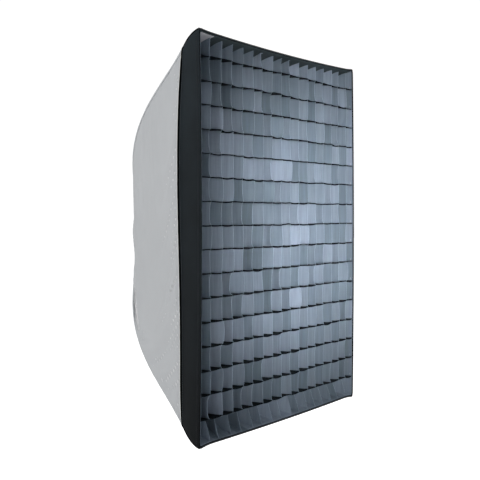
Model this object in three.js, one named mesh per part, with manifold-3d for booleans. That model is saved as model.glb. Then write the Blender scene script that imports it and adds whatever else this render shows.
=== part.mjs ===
// Rectangular softbox with a fabric egg-crate grid, for a studio flash head.
//
// Millimetres, +Z up. The front faces -Y. The origin is the centre of the bayonet insert's rear
// face, where the box meets the light. Depths in the named values are measured backwards from the
// front edge of the lip, and backY() turns them into Y.

import * as THREE from 'three';
import { mergeVertices } from 'three/addons/utils/BufferGeometryUtils.js';
import Module from 'manifold-3d';

const wasm = await Module();
wasm.setup();

// ---- driving dimensions ------------------------------------------------------------------

const FRONT_WIDTH = 600;
const FRONT_HEIGHT = 900;
const TOTAL_DEPTH = 507;          // front edge of the lip to the insert's rear face
const GAP = 0.5;                  // clearance between touching pieces

const LIP_DEPTH = 73;             // at the corners
const LIP_SCALLOP = 14;           // extra lip depth half way along a side
const LIP_FLARE = 28;             // growth of the half height from the lip's seam to its edge
const LIP_CURVE = 1.7;            // over 1, the flare is steep at the seam and dies out in front
const FRONT_BOW = 4.5;            // how far the middle of a side's front edge stands forward
const FABRIC = 1.6;               // thickness of the sewn fabric panels
const CORNER_TRIM = 1.6;          // room between two panels where they meet over a rod

const SHELL_REAR_DEPTH = 477;     // where the shell meets the rear collar
const SHELL_REAR_DIAGONAL = 138;  // centre to corner at that depth
const COLLAR_NECK_DEPTH = 489;    // where its hem grips the speedring's neck
const COLLAR_DISH = 8;
const SHELL_SAG = 8;              // how far a tensioned panel draws in between its rods

const ROD_RADIUS = 2.5;
const ROD_INSET = 13;             // rod centre inside the corner seam
const ROD_PIVOT_DEPTH = 476;      // the socket's pivot pin
const ROD_PIVOT_RADIUS = 92;
const SOCKET_LENGTH = 46;
const SOCKET_RADIUS = 5.4;
const SLEEVE_CLEARANCE = 1.6;
const SLEEVE_WALL = 0.8;
const TIP_LENGTH = 14;
const TIP_BORE_DEPTH = 8;
const TIP_RADIUS = 4.4;
const TIP_TAPER = 0.8;
const POCKET_WIDTH = 44;          // the corner pocket's two sides
const POCKET_HEIGHT = 58;
const POCKET_THICKNESS = 2.4;
const POCKET_INSET = 4;

const KNUCKLE_LENGTH = 18;        // the square end of a rod's socket, on its pivot pin
const KNUCKLE_SHIFT = 2.5;
const SOCKET_TUBE_START = 10;
const ROD_START = 12;             // from the pivot to the rod's end inside the socket
const PIN_RADIUS = 1.9;
const PIN_LENGTH = 21;
const PIN_CLEARANCE = 0.3;
const LUG = { length: 34, width: 12.6, thickness: 4.8, centre: 83, spread: 8.6 };

const GRID_FRONT_DEPTH = 2;
const GRID_DEPTH = 50;
const GRID_COLUMNS = 17;
const GRID_ROWS = 17;
const STRIP_THICKNESS = 1.2;
const BAND_THICKNESS = 1.4;
const LOOP_FRONT_DEPTH = 8;
const LOOP_REAR_DEPTH = 70;

const DIFFUSER_DEPTH = 63;
const DIFFUSER_THICKNESS = 1.2;
const HEM_WIDTH = 22;
const HEM_THICKNESS = 3.6;

const BAFFLE_DEPTH = 260;
const BAFFLE_WIDTH = 300;
const BAFFLE_HEIGHT = 450;
const STRAP_WIDTH = 14;
const STRAP_THICKNESS = 1.4;
const STRAP_START = 9;            // from the baffle's corner
const CLIP_REACH = 16;            // rod centre to the end of the strap
const CLIP = { width: 7, length: 14, thickness: 5, shift: -4.5, bore: 2.9, slot: 4.4 };

const PORT_RADIUS = 50;           // the light shines in through this
const INSERT_RADIUS = 58;
const INSERT_FLANGE_RADIUS = 61.6;
const RUNNING_CLEARANCE = 0.4;    // insert inside the speedring
const NECK_RADIUS = 66;
const FLANGE_RADIUS = 70;
const RING_FRONT_Y = -37;
const RING_STEP_Y = -24;
const RING_REAR_Y = -3;
const RETAINING_THICKNESS = 3;
const SCREW_CIRCLE = 66;
const SCREW_HEAD = { radius: 3.4, height: 2.4 };
const SCREW_SHANK = { radius: 1.5, length: 9 };
const RING_SEGMENTS = 48;

const KNOB_Y = -9.5;
const KNOB_BOSS = { radius: 6.2, start: 59, end: 74 };
const KNOB_SHANK = { radius: 2.8, start: 60.6, end: 81.2 };
const KNOB_GRIP = { radius: 10, start: 78, end: 93, flute: 3, fluteCircle: 11.4, flutes: 6 };

const HALF_WIDTH = FRONT_WIDTH / 2;
const HALF_HEIGHT = FRONT_HEIGHT / 2;
const FRONT_DIAGONAL = Math.hypot(HALF_WIDTH, HALF_HEIGHT);
const CORNER_X = HALF_WIDTH / FRONT_DIAGONAL;
const CORNER_Z = HALF_HEIGHT / FRONT_DIAGONAL;

const backY = (depth) => depth - TOTAL_DEPTH;

// ---- materials ---------------------------------------------------------------------------

const finish = (color, roughness, metalness) => new THREE.MeshStandardMaterial({ color, roughness, metalness });
const FINISH = {
  shell: () => finish(0xb6babd, 0.7, 0.0),
  lip: () => finish(0x24282b, 0.8, 0.0),
  grid: () => finish(0x39424d, 0.75, 0.0),
  white: () => finish(0xf2f2ee, 0.85, 0.0),
  elastic: () => finish(0x17181a, 0.9, 0.0),
  rod: () => finish(0x9a9ea3, 0.3, 1.0),
  tip: () => finish(0x1d1e20, 0.5, 0.0),
  alloy: () => finish(0xaeb1b4, 0.38, 1.0),
  steel: () => finish(0x8b8f94, 0.3, 1.0),
  black: () => finish(0x1b1c1e, 0.45, 0.2),
};

const softbox = new THREE.Group();

function addPiece(name, geometry, material, place) {
  const mesh = new THREE.Mesh(geometry, material);
  mesh.name = name;
  if (place) place(mesh);
  softbox.add(mesh);
  return mesh;
}

// ---- joining and cutting -----------------------------------------------------------------

function toSolid(geometry) {
  const bare = geometry.index ? geometry.clone() : geometry;
  for (const name of ['normal', 'uv']) bare.deleteAttribute(name);
  const merged = mergeVertices(bare, 1e-4);
  return new wasm.Manifold(new wasm.Mesh({
    numProp: 3,
    vertProperties: new Float32Array(merged.attributes.position.array),
    triVerts: new Uint32Array(merged.index.array),
  }));
}

function toGeometry(solid) {
  const mesh = solid.getMesh();
  const geometry = new THREE.BufferGeometry();
  geometry.setAttribute('position', new THREE.BufferAttribute(new Float32Array(mesh.vertProperties), 3));
  geometry.setIndex(new THREE.BufferAttribute(new Uint32Array(mesh.triVerts), 1));
  return geometry;
}

const join = (geometries) => toGeometry(geometries.map(toSolid).reduce((whole, next) => whole.add(next)));
const cut = (body, tools) => toGeometry(tools.map(toSolid).reduce((left, tool) => left.subtract(tool), toSolid(body)));

// ---- shared shapes -----------------------------------------------------------------------

// A ring about the Y axis: inner and outer radius between two Y values.
function ringAboutY(inner, outer, y0, y1, segments = RING_SEGMENTS) {
  const outline = [[inner, y0], [outer, y0], [outer, y1], [inner, y1], [inner, y0]];
  return new THREE.LatheGeometry(outline.map(([r, y]) => new THREE.Vector2(r, y)), segments);
}

function rodAlong(axis, radius, length, sides = 16) {
  const geometry = new THREE.CylinderGeometry(radius, radius, length, sides);
  if (axis === 'x') geometry.rotateZ(-Math.PI / 2);
  if (axis === 'z') geometry.rotateX(Math.PI / 2);
  return geometry;
}

const rodBetween = (start, end, radius, sides) => (
  rodAlong('x', radius, end - start, sides).translate((start + end) / 2, 0, 0)
);

// A box whose points are carried onto a curved surface. surface(u, v, w) takes u and v from 0 to 1
// over the panel, and w from 0 on its outer face to 1 on its inner face.
function bentSlab(surface, uSteps, vSteps) {
  const geometry = new THREE.BoxGeometry(1, 1, 1, uSteps, vSteps, 1);
  const position = geometry.attributes.position;
  for (let i = 0; i < position.count; i += 1) {
    const point = surface(position.getX(i) + 0.5, position.getY(i) + 0.5, position.getZ(i) + 0.5);
    position.setXYZ(i, point.x, point.y, point.z);
  }
  const merged = mergeVertices(deleteShading(geometry), 1e-4);
  return facingOut(merged);
}

function deleteShading(geometry) {
  geometry.deleteAttribute('normal');
  geometry.deleteAttribute('uv');
  return geometry;
}

function signedVolume(geometry) {
  const p = geometry.attributes.position;
  const index = geometry.index.array;
  const [a, b, c] = [new THREE.Vector3(), new THREE.Vector3(), new THREE.Vector3()];
  let total = 0;
  for (let i = 0; i < index.length; i += 3) {
    a.fromBufferAttribute(p, index[i]);
    b.fromBufferAttribute(p, index[i + 1]);
    c.fromBufferAttribute(p, index[i + 2]);
    total += a.dot(b.cross(c)) / 6;
  }
  return total;
}

function facingOut(geometry) {
  if (signedVolume(geometry) < 0) {
    const index = geometry.index.array;
    for (let i = 0; i < index.length; i += 3) [index[i + 1], index[i + 2]] = [index[i + 2], index[i + 1]];
  }
  return geometry;
}

// The four sides of the box. out is the side's outward direction and along runs the length of it;
// across and length are the shares of the corner diagonal that they take. drawIn is how far the
// middle of its front edge draws in: the top one hangs, and the bottom one hangs outwards.
const [X, Z] = [new THREE.Vector3(1, 0, 0), new THREE.Vector3(0, 0, 1)];
const SIDES = [
  { name: 'left', out: X.clone().negate(), along: Z, across: CORNER_X, length: CORNER_Z, drawIn: 1.5 },
  { name: 'right', out: X, along: Z, across: CORNER_X, length: CORNER_Z, drawIn: 1.5 },
  { name: 'top', out: Z, along: X, across: CORNER_Z, length: CORNER_X, drawIn: 8 },
  { name: 'bottom', out: Z.clone().negate(), along: X, across: CORNER_Z, length: CORNER_X, drawIn: -1.5 },
];
const [LEFT, , TOP, BOTTOM] = SIDES;
const isUpright = (side) => side.across < side.length;

const CORNERS = [
  { name: 'top_left', x: -1, z: 1 },
  { name: 'top_right', x: 1, z: 1 },
  { name: 'bottom_left', x: -1, z: -1 },
  { name: 'bottom_right', x: 1, z: -1 },
];

function sidePoint(side, outward, lengthwise, depth) {
  return side.out.clone().multiplyScalar(outward)
    .addScaledVector(side.along, lengthwise)
    .add(new THREE.Vector3(0, backY(depth), 0));
}

// ---- the corner seam ---------------------------------------------------------------------

// The seam over each rod, as depth and distance from the axis, in the corner's diagonal plane.
const seam = new THREE.CubicBezierCurve(
  new THREE.Vector2(LIP_DEPTH, FRONT_DIAGONAL - LIP_FLARE / CORNER_Z),
  new THREE.Vector2(200, 419),
  new THREE.Vector2(392, 353),
  new THREE.Vector2(SHELL_REAR_DEPTH, SHELL_REAR_DIAGONAL),
);

// How far the lip and the panels behind it draw in half way along a side, at a depth.
const lipSag = (side, depth) => side.drawIn * (1 - 0.6 * depth / LIP_DEPTH);
const lipDiagonal = (depth) => (
  FRONT_DIAGONAL - (LIP_FLARE / CORNER_Z) * Math.min(1, depth / LIP_DEPTH) ** LIP_CURVE
);
const bulge = (t) => 1 - t * t;   // t runs from -1 to 1 along a side
const bowedDepth = (depth, t) => depth - FRONT_BOW * bulge(t) * Math.max(0, 1 - depth / LIP_DEPTH);

// ---- fabric shell ------------------------------------------------------------------------

function shellPanel(side) {
  const other = side.length;
  return bentSlab((u, v, w) => {
    const t = 2 * v - 1;
    const p = seam.getPoint(u);
    const tangent = seam.getTangent(u);
    const depth = p.x + GAP + FABRIC + LIP_SCALLOP * bulge(t) * (1 - u) ** 2;
    const slope = new THREE.Vector2(tangent.x, tangent.y * side.across).normalize();
    const otherSlope = new THREE.Vector2(tangent.x, tangent.y * other).normalize();
    const sag = (lipSag(side, LIP_DEPTH) * (1 - u) + SHELL_SAG * Math.sin(Math.PI * u)) * bulge(t);
    const trim = isUpright(side) ? FABRIC / otherSlope.x + CORNER_TRIM : 0.4;
    const half = side.length * p.y - trim;
    const inward = w * FABRIC;
    const outward = side.across * p.y - sag - inward * slope.x;
    return sidePoint(side, outward, t * half, depth + inward * slope.y);
  }, 9, 6);
}

for (const side of SIDES) addPiece(`shell_panel_${side.name}`, shellPanel(side), FINISH.shell());

// The collar closes the shell round the speedring's neck: a rectangle drawn in to a circle.
function rearCollar() {
  const innerRadius = NECK_RADIUS + 2;
  const outerX = SHELL_REAR_DIAGONAL * CORNER_X - GAP;
  const outerZ = SHELL_REAR_DIAGONAL * CORNER_Z - GAP;
  const profile = [[0, 0], [0.7, 0], [1, 0], [1, 1], [0.7, 1], [0, 1], [0, 0]];
  const geometry = new THREE.LatheGeometry(profile.map(([r, y]) => new THREE.Vector2(r + 1, y)), 40);
  const position = geometry.attributes.position;
  for (let i = 0; i < position.count; i += 1) {
    const angle = Math.atan2(position.getZ(i), position.getX(i));
    const share = Math.hypot(position.getX(i), position.getZ(i)) - 1;
    const [c, s] = [Math.cos(angle), Math.sin(angle)];
    const edge = (Math.abs(c / outerX) ** 8 + Math.abs(s / outerZ) ** 8) ** (-1 / 8);
    const radius = innerRadius + share * (edge - innerRadius);
    const depth = COLLAR_NECK_DEPTH - COLLAR_DISH * share ** 3 + position.getY(i) * FABRIC;
    position.setXYZ(i, radius * c, backY(depth), radius * s);
  }
  return facingOut(mergeVertices(deleteShading(geometry), 1e-4));
}

addPiece('rear_collar', rearCollar(), FINISH.shell());

// ---- lip, its loop band and the corner pockets -------------------------------------------

// A band on the inside of the lip, from one depth to another, starting inset from its outer face.
function lipBand(side, fromDepth, toDepth, inset, thickness, trim) {
  return bentSlab((u, v, w) => {
    const t = 2 * v - 1;
    const depth = fromDepth(t) + u * (toDepth(t) - fromDepth(t));
    const diagonal = lipDiagonal(depth);
    const outward = side.across * diagonal - lipSag(side, depth) * bulge(t) - inset - w * thickness;
    return sidePoint(side, outward, t * (side.length * diagonal - trim), bowedDepth(depth, t));
  }, 6, 12);
}

for (const side of SIDES) {
  const trim = isUpright(side) ? FABRIC + 2 * GAP : 0;
  const lip = lipBand(side, () => 0, (t) => LIP_DEPTH + LIP_SCALLOP * bulge(t), 0, FABRIC, trim);
  addPiece(`lip_${side.name}`, lip, FINISH.lip());
}

const bandFrame = (from, to, inset, thickness) => join(
  SIDES.map((side) => lipBand(side, () => from, () => to, inset, thickness, inset)),
);

const LOOP_INSET = FABRIC + GAP;
const BORDER_INSET = LOOP_INSET + BAND_THICKNESS + GAP;
const loopBand = bandFrame(LOOP_FRONT_DEPTH, LOOP_REAR_DEPTH, LOOP_INSET, BAND_THICKNESS);
addPiece('loop_band', loopBand, FINISH.elastic());

function cornerPocket(corner) {
  const [inX, inZ] = [corner.x, corner.z];
  const diagonal = lipDiagonal(LIP_DEPTH);
  const [x, z] = [diagonal * CORNER_X - POCKET_INSET, diagonal * CORNER_Z - POCKET_INSET];
  const shape = new THREE.Shape();
  shape.moveTo(inX * x, inZ * z);
  shape.lineTo(inX * (x - POCKET_WIDTH), inZ * z);
  shape.lineTo(inX * x, inZ * (z - POCKET_HEIGHT));
  shape.closePath();
  const geometry = new THREE.ExtrudeGeometry(shape, { depth: POCKET_THICKNESS, bevelEnabled: false });
  geometry.rotateX(Math.PI / 2);
  geometry.translate(0, backY(LIP_DEPTH), 0);
  return geometry;
}

for (const corner of CORNERS) addPiece(`corner_pocket_${corner.name}`, cornerPocket(corner), FINISH.lip());

// ---- rods, their sleeves, tips and sockets -----------------------------------------------

// The rod's own line: a straight stretch in its socket, then a bend that follows the seam.
function rodLine(corner) {
  const inDiagonal = (depth, radius) => new THREE.Vector3(
    corner.x * CORNER_X * radius, backY(depth), corner.z * CORNER_Z * radius,
  );
  const tangent = seam.getTangent(0);
  const rearTangent = seam.getTangent(1);
  const offset = (t) => {
    const p = seam.getPoint(t);
    const d = seam.getTangent(t);
    return [p.x + d.y * ROD_INSET, p.y - d.x * ROD_INSET];
  };
  const points = [0.05, 0.14, 0.28, 0.42, 0.56, 0.7, 0.82, 0.92].map((t) => inDiagonal(...offset(t)));
  const pivot = inDiagonal(ROD_PIVOT_DEPTH, ROD_PIVOT_RADIUS);
  const mouth = inDiagonal(
    ROD_PIVOT_DEPTH - rearTangent.x * SOCKET_LENGTH,
    ROD_PIVOT_RADIUS - rearTangent.y * SOCKET_LENGTH,
  );
  const socketDirection = mouth.clone().sub(pivot).normalize();
  const tipDirection = inDiagonal(0, 0).sub(inDiagonal(tangent.x, tangent.y)).normalize();
  return { points, pivot, mouth, socketDirection, tipDirection };
}

function circleShape(radius, sides) {
  const shape = new THREE.Shape();
  for (let i = 0; i < sides; i += 1) {
    const angle = (2 * Math.PI * i) / sides;
    const [x, y] = [radius * Math.cos(angle), radius * Math.sin(angle)];
    if (i === 0) shape.moveTo(x, y);
    else shape.lineTo(x, y);
  }
  shape.closePath();
  return shape;
}

const smoothPath = (points) => new THREE.CatmullRomCurve3(points, false, 'centripetal');

function sweep(shape, path, steps) {
  return new THREE.ExtrudeGeometry(shape, { steps, bevelEnabled: false, extrudePath: path });
}

// Where a rod passes a depth: the share of the bend's length, the point and the direction there.
function rodAtDepth(bend, depth) {
  const away = (share) => Math.abs(bend.getPointAt(share).y - backY(depth));
  const samples = Array.from({ length: 401 }, (_, i) => i / 400);
  const share = samples.reduce((best, next) => (away(next) < away(best) ? next : best));
  return { share, point: bend.getPointAt(share), direction: bend.getTangentAt(share) };
}

// The fabric sleeve is in two lengths, with the baffle's clip between them.
function rodSleeve(bend, from, to, steps) {
  const section = circleShape(ROD_RADIUS + SLEEVE_CLEARANCE + SLEEVE_WALL, 6);
  section.holes.push(circleShape(ROD_RADIUS + SLEEVE_CLEARANCE, 6));
  const points = Array.from({ length: steps + 1 }, (_, i) => bend.getPointAt(from + ((to - from) * i) / steps));
  return sweep(section, smoothPath(points), steps);
}

function pointAlongY(geometry, start, direction) {
  const turn = new THREE.Quaternion().setFromUnitVectors(new THREE.Vector3(0, 1, 0), direction);
  geometry.applyQuaternion(turn);
  geometry.translate(start.x, start.y, start.z);
  return geometry;
}

for (const corner of CORNERS) {
  const { points, pivot, mouth, socketDirection, tipDirection } = rodLine(corner);
  const rodStart = pivot.clone().addScaledVector(socketDirection, ROD_START);
  const wholeRod = smoothPath([...points, mouth, rodStart]);
  addPiece(`rod_${corner.name}`, sweep(circleShape(ROD_RADIUS, 8), wholeRod, 16), FINISH.rod());

  const bend = smoothPath(points);
  const clipShare = rodAtDepth(bend, BAFFLE_DEPTH).share;
  const frontSleeve = rodSleeve(bend, 0.07, clipShare - 0.03, 4);
  const rearSleeve = rodSleeve(bend, clipShare + 0.03, 0.97, 6);
  addPiece(`rod_sleeve_front_${corner.name}`, frontSleeve, FINISH.shell());
  addPiece(`rod_sleeve_rear_${corner.name}`, rearSleeve, FINISH.shell());

  const cap = new THREE.CylinderGeometry(TIP_RADIUS * TIP_TAPER, TIP_RADIUS, TIP_LENGTH, 10);
  cap.translate(0, TIP_LENGTH / 2 - TIP_BORE_DEPTH, 0);
  const capBore = new THREE.CylinderGeometry(ROD_RADIUS + GAP, ROD_RADIUS + GAP, 2 * TIP_BORE_DEPTH, 10);
  capBore.translate(0, GAP - TIP_BORE_DEPTH, 0);
  const tip = cut(cap, [capBore]);
  addPiece(`rod_tip_${corner.name}`, pointAlongY(tip, points[0], tipDirection), FINISH.tip());

  const tube = ringAboutY(ROD_RADIUS + 0.7, SOCKET_RADIUS, SOCKET_TUBE_START, SOCKET_LENGTH, 12);
  const knuckle = new THREE.BoxGeometry(2 * SOCKET_RADIUS, KNUCKLE_LENGTH, 2 * SOCKET_RADIUS);
  knuckle.translate(0, KNUCKLE_SHIFT, 0);
  const across = new THREE.Vector3(corner.x * CORNER_Z, 0, -corner.z * CORNER_X);
  const upright = new THREE.Vector3().crossVectors(across, socketDirection);
  const frame = new THREE.Matrix4().makeBasis(across, socketDirection, upright).setPosition(pivot);
  const pinHole = rodAlong('x', PIN_RADIUS + PIN_CLEARANCE + 0.1, 30, 10);
  const socket = cut(join([tube, knuckle]), [pinHole]).applyMatrix4(frame);
  const pin = rodAlong('x', PIN_RADIUS, PIN_LENGTH, 10).applyMatrix4(frame);
  addPiece(`rod_socket_${corner.name}`, facingOut(socket), FINISH.alloy());
  addPiece(`socket_pin_${corner.name}`, facingOut(pin), FINISH.steel());
}

// ---- speedring, retaining ring and bayonet insert ----------------------------------------

// Turns a piece made at the +X side about the Y axis, to its own place on a circle.
function turnedOutward(geometry, angle) {
  return geometry.rotateY(-angle);
}

const cornerAngle = (corner) => Math.atan2(corner.z * CORNER_Z, corner.x * CORNER_X);
const screwAngles = [0, 1, 2, 3].map((i) => (i * Math.PI) / 2);

function screwHoles(radius, y) {
  return screwAngles.map((angle) => {
    const hole = new THREE.CylinderGeometry(radius, radius, 12, 8);
    return turnedOutward(hole.translate(SCREW_CIRCLE, y, 0), angle);
  });
}

// Two lugs on each corner take the pin that a rod's socket tilts on.
function socketLugs(corner) {
  return [-LUG.spread, LUG.spread].map((shift) => {
    const lug = new THREE.BoxGeometry(LUG.length, LUG.width, LUG.thickness);
    lug.translate(LUG.centre, backY(ROD_PIVOT_DEPTH), shift);
    return turnedOutward(lug, cornerAngle(corner));
  });
}

function speedringBody() {
  const flange = ringAboutY(INSERT_RADIUS, FLANGE_RADIUS, RING_FRONT_Y, RING_STEP_Y);
  const neck = ringAboutY(INSERT_RADIUS, NECK_RADIUS, RING_STEP_Y - 1, RING_REAR_Y);
  const boss = rodBetween(KNOB_BOSS.start, KNOB_BOSS.end, KNOB_BOSS.radius, 24).translate(0, KNOB_Y, 0);
  const whole = join([flange, neck, boss, ...CORNERS.flatMap(socketLugs)]);

  const boreRadius = INSERT_RADIUS + RUNNING_CLEARANCE;
  const bore = new THREE.CylinderGeometry(boreRadius, boreRadius, 80, RING_SEGMENTS);
  const pocketRadius = INSERT_FLANGE_RADIUS + RUNNING_CLEARANCE;
  const pocket = new THREE.CylinderGeometry(pocketRadius, pocketRadius, 10, RING_SEGMENTS);
  pocket.translate(0, RING_FRONT_Y, 0);
  const knobHole = rodBetween(50, 90, KNOB_SHANK.radius + 0.5, 12).translate(0, KNOB_Y, 0);
  const pinHoles = CORNERS.map((corner) => {
    const hole = rodAlong('z', PIN_RADIUS + PIN_CLEARANCE, 40, 10);
    hole.translate(ROD_PIVOT_RADIUS, backY(ROD_PIVOT_DEPTH), 0);
    return turnedOutward(hole, cornerAngle(corner));
  });
  return cut(whole, [bore, pocket, knobHole, ...pinHoles, ...screwHoles(SCREW_SHANK.radius + 0.3, RING_FRONT_Y - 1)]);
}

addPiece('speedring_body', speedringBody(), FINISH.alloy());

const retainingRear = RING_FRONT_Y - 0.3;
const retainingFront = retainingRear - RETAINING_THICKNESS;
const retainingRing = ringAboutY(PORT_RADIUS + 3, FLANGE_RADIUS - 0.4, retainingFront, retainingRear);
addPiece('retaining_ring', cut(retainingRing, screwHoles(SCREW_SHANK.radius + 0.6, retainingFront)), FINISH.black());

screwAngles.forEach((angle, i) => {
  const { radius, height } = SCREW_HEAD;
  const head = new THREE.CylinderGeometry(radius, radius, height, 12);
  head.translate(0, retainingFront - GAP / 2 - height / 2, 0);
  const shank = new THREE.CylinderGeometry(SCREW_SHANK.radius, SCREW_SHANK.radius, SCREW_SHANK.length, 8);
  shank.translate(0, retainingFront - 1 + SCREW_SHANK.length / 2, 0);
  const screw = turnedOutward(join([head, shank]).translate(SCREW_CIRCLE, 0, 0), angle);
  addPiece(`retaining_screw_${i + 1}`, screw, FINISH.steel());
});

function bayonetInsert() {
  const flangeRear = RING_FRONT_Y + 5 - RUNNING_CLEARANCE;
  const barrel = ringAboutY(PORT_RADIUS, INSERT_RADIUS, RING_FRONT_Y + RUNNING_CLEARANCE, 0);
  const flange = ringAboutY(PORT_RADIUS + 2, INSERT_FLANGE_RADIUS, RING_FRONT_Y + 0.3, flangeRear);
  const spigot = ringAboutY(PORT_RADIUS, PORT_RADIUS + 3, -1, 6);
  const lugs = [0, 1, 2].map((i) => {
    const lug = new THREE.BoxGeometry(5, 3, 16).translate(PORT_RADIUS + 4, 4.5, 0);
    return turnedOutward(lug, (i * 2 * Math.PI) / 3 + Math.PI / 2);
  });
  return join([barrel, flange, spigot, ...lugs]);
}

addPiece('bayonet_insert', bayonetInsert(), FINISH.steel());

// A fluted thumbscrew whose tip bears on the insert, so that the box can't turn on the light.
function lockKnob() {
  const { radius, start, end, flute, fluteCircle, flutes: count } = KNOB_GRIP;
  const grip = rodBetween(start, end, radius, 36);
  const shank = rodBetween(KNOB_SHANK.start, KNOB_SHANK.end, KNOB_SHANK.radius, 12);
  const flutes = Array.from({ length: count }, (_, i) => {
    const angle = (i * 2 * Math.PI) / count;
    const tool = rodBetween(start - 2, end + 2, flute, 12);
    return tool.translate(0, fluteCircle * Math.cos(angle), fluteCircle * Math.sin(angle));
  });
  return cut(join([grip, shank]), flutes);
}

addPiece('lock_knob', lockKnob(), FINISH.black(), (mesh) => mesh.position.set(0, KNOB_Y, 0));

// ---- inner baffle ------------------------------------------------------------------------

const baffle = new THREE.BoxGeometry(BAFFLE_WIDTH, DIFFUSER_THICKNESS, BAFFLE_HEIGHT);
addPiece('inner_baffle', baffle, FINISH.white(), (mesh) => mesh.position.set(0, backY(BAFFLE_DEPTH), 0));

// An elastic strap runs from each corner of the baffle to a snap-on clip on the rod.
for (const corner of CORNERS) {
  const rod = rodAtDepth(smoothPath(rodLine(corner).points), BAFFLE_DEPTH);
  const baffleCorner = new THREE.Vector3(corner.x * (BAFFLE_WIDTH / 2), rod.point.y, corner.z * (BAFFLE_HEIGHT / 2));
  const outward = rod.point.clone().sub(baffleCorner);
  const reach = outward.length();
  outward.normalize();
  const backward = new THREE.Vector3(0, 1, 0);
  const strapLength = reach - STRAP_START - CLIP_REACH - GAP;
  const strap = new THREE.BoxGeometry(STRAP_WIDTH, strapLength, STRAP_THICKNESS);
  strap.translate(0, strapLength / 2, 0);
  const strapFrame = new THREE.Matrix4()
    .makeBasis(new THREE.Vector3().crossVectors(outward, backward), outward, backward)
    .setPosition(baffleCorner.addScaledVector(outward, STRAP_START));
  addPiece(`baffle_strap_${corner.name}`, strap.applyMatrix4(strapFrame), FINISH.elastic());

  const body = new THREE.BoxGeometry(CLIP.width, CLIP.length, CLIP.thickness).translate(0, CLIP.shift, 0);
  const mouthSlot = new THREE.BoxGeometry(CLIP.slot, 6, 20).translate(0, 3, 0);
  const clip = cut(body, [rodAlong('z', CLIP.bore, 20, 12), mouthSlot]);
  const clipOut = outward.clone().addScaledVector(rod.direction, -outward.dot(rod.direction)).normalize();
  const clipFrame = new THREE.Matrix4()
    .makeBasis(new THREE.Vector3().crossVectors(clipOut, rod.direction), clipOut, rod.direction)
    .setPosition(rod.point);
  addPiece(`baffle_clip_${corner.name}`, facingOut(clip.applyMatrix4(clipFrame)), FINISH.tip());
}

// ---- front diffuser ----------------------------------------------------------------------

// The inside outline of the lip at one depth, drawn in by an inset.
function insideOutline(depth, inset) {
  const diagonal = lipDiagonal(depth);
  const [x, z] = [diagonal * CORNER_X - inset, diagonal * CORNER_Z - inset];
  const [sagX, sagTop, sagBottom] = [LEFT, TOP, BOTTOM].map((side) => lipSag(side, depth));
  const shape = new THREE.Shape();
  shape.moveTo(-x, -z);
  shape.quadraticCurveTo(0, -z + 2 * sagBottom, x, -z);
  shape.quadraticCurveTo(x - 2 * sagX, 0, x, z);
  shape.quadraticCurveTo(0, z - 2 * sagTop, -x, z);
  shape.quadraticCurveTo(-x + 2 * sagX, 0, -x, -z);
  return shape;
}

function plate(shape, depth, thickness) {
  const geometry = new THREE.ExtrudeGeometry(shape, { depth: thickness, bevelEnabled: false, curveSegments: 8 });
  geometry.rotateX(Math.PI / 2);
  geometry.translate(0, backY(depth) + thickness, 0);
  return geometry;
}

function frontDiffuser() {
  const inset = BORDER_INSET + 0.8;
  const sheet = plate(insideOutline(DIFFUSER_DEPTH + HEM_THICKNESS, inset), DIFFUSER_DEPTH, DIFFUSER_THICKNESS);
  const hemShape = insideOutline(DIFFUSER_DEPTH + HEM_THICKNESS, inset);
  hemShape.holes.push(insideOutline(DIFFUSER_DEPTH + HEM_THICKNESS, inset + HEM_WIDTH));
  return join([sheet, plate(hemShape, DIFFUSER_DEPTH, HEM_THICKNESS)]);
}

addPiece('front_diffuser', frontDiffuser(), FINISH.white());

// ---- egg-crate grid ----------------------------------------------------------------------

const GRID_REAR_DEPTH = GRID_FRONT_DEPTH + GRID_DEPTH;
addPiece(
  'grid_border',
  bandFrame(GRID_FRONT_DEPTH, GRID_REAR_DEPTH, BORDER_INSET, BAND_THICKNESS),
  FINISH.lip(),
);

// The flared space inside the border, as a block whose sides draw in like the lip's.
function insideBlock(fromDepth, toDepth, inset) {
  const geometry = new THREE.BoxGeometry(2, 2, 1, 12, 12, 6);
  const position = geometry.attributes.position;
  for (let i = 0; i < position.count; i += 1) {
    const [u, v, w] = [position.getX(i), position.getY(i), position.getZ(i) + 0.5];
    const depth = fromDepth + w * (toDepth - fromDepth);
    const diagonal = lipDiagonal(depth);
    const x = u * (CORNER_X * diagonal - inset - lipSag(LEFT, depth) * bulge(v));
    const z = v * (CORNER_Z * diagonal - inset - lipSag(v > 0 ? TOP : BOTTOM, depth) * bulge(u));
    position.setXYZ(i, x, backY(depth), z);
  }
  return facingOut(mergeVertices(deleteShading(geometry), 1e-4));
}

function gridLattice() {
  const inset = BORDER_INSET + BAND_THICKNESS + 2 * GAP;
  const strips = [];
  const middle = backY(GRID_FRONT_DEPTH + GRID_DEPTH / 2);
  for (let i = 1; i < GRID_COLUMNS; i += 1) {
    const strip = new THREE.BoxGeometry(STRIP_THICKNESS, GRID_DEPTH, FRONT_HEIGHT);
    strips.push(strip.translate((i / GRID_COLUMNS - 0.5) * FRONT_WIDTH, middle, 0));
  }
  for (let i = 1; i < GRID_ROWS; i += 1) {
    const strip = new THREE.BoxGeometry(FRONT_WIDTH, GRID_DEPTH, STRIP_THICKNESS);
    strips.push(strip.translate(0, middle, (i / GRID_ROWS - 0.5) * FRONT_HEIGHT));
  }
  const keep = toSolid(insideBlock(GRID_FRONT_DEPTH, GRID_REAR_DEPTH, inset));
  return toGeometry(strips.map(toSolid).reduce((whole, next) => whole.add(next)).intersect(keep));
}

addPiece('grid_lattice', gridLattice(), FINISH.grid());

export default softbox;
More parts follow.
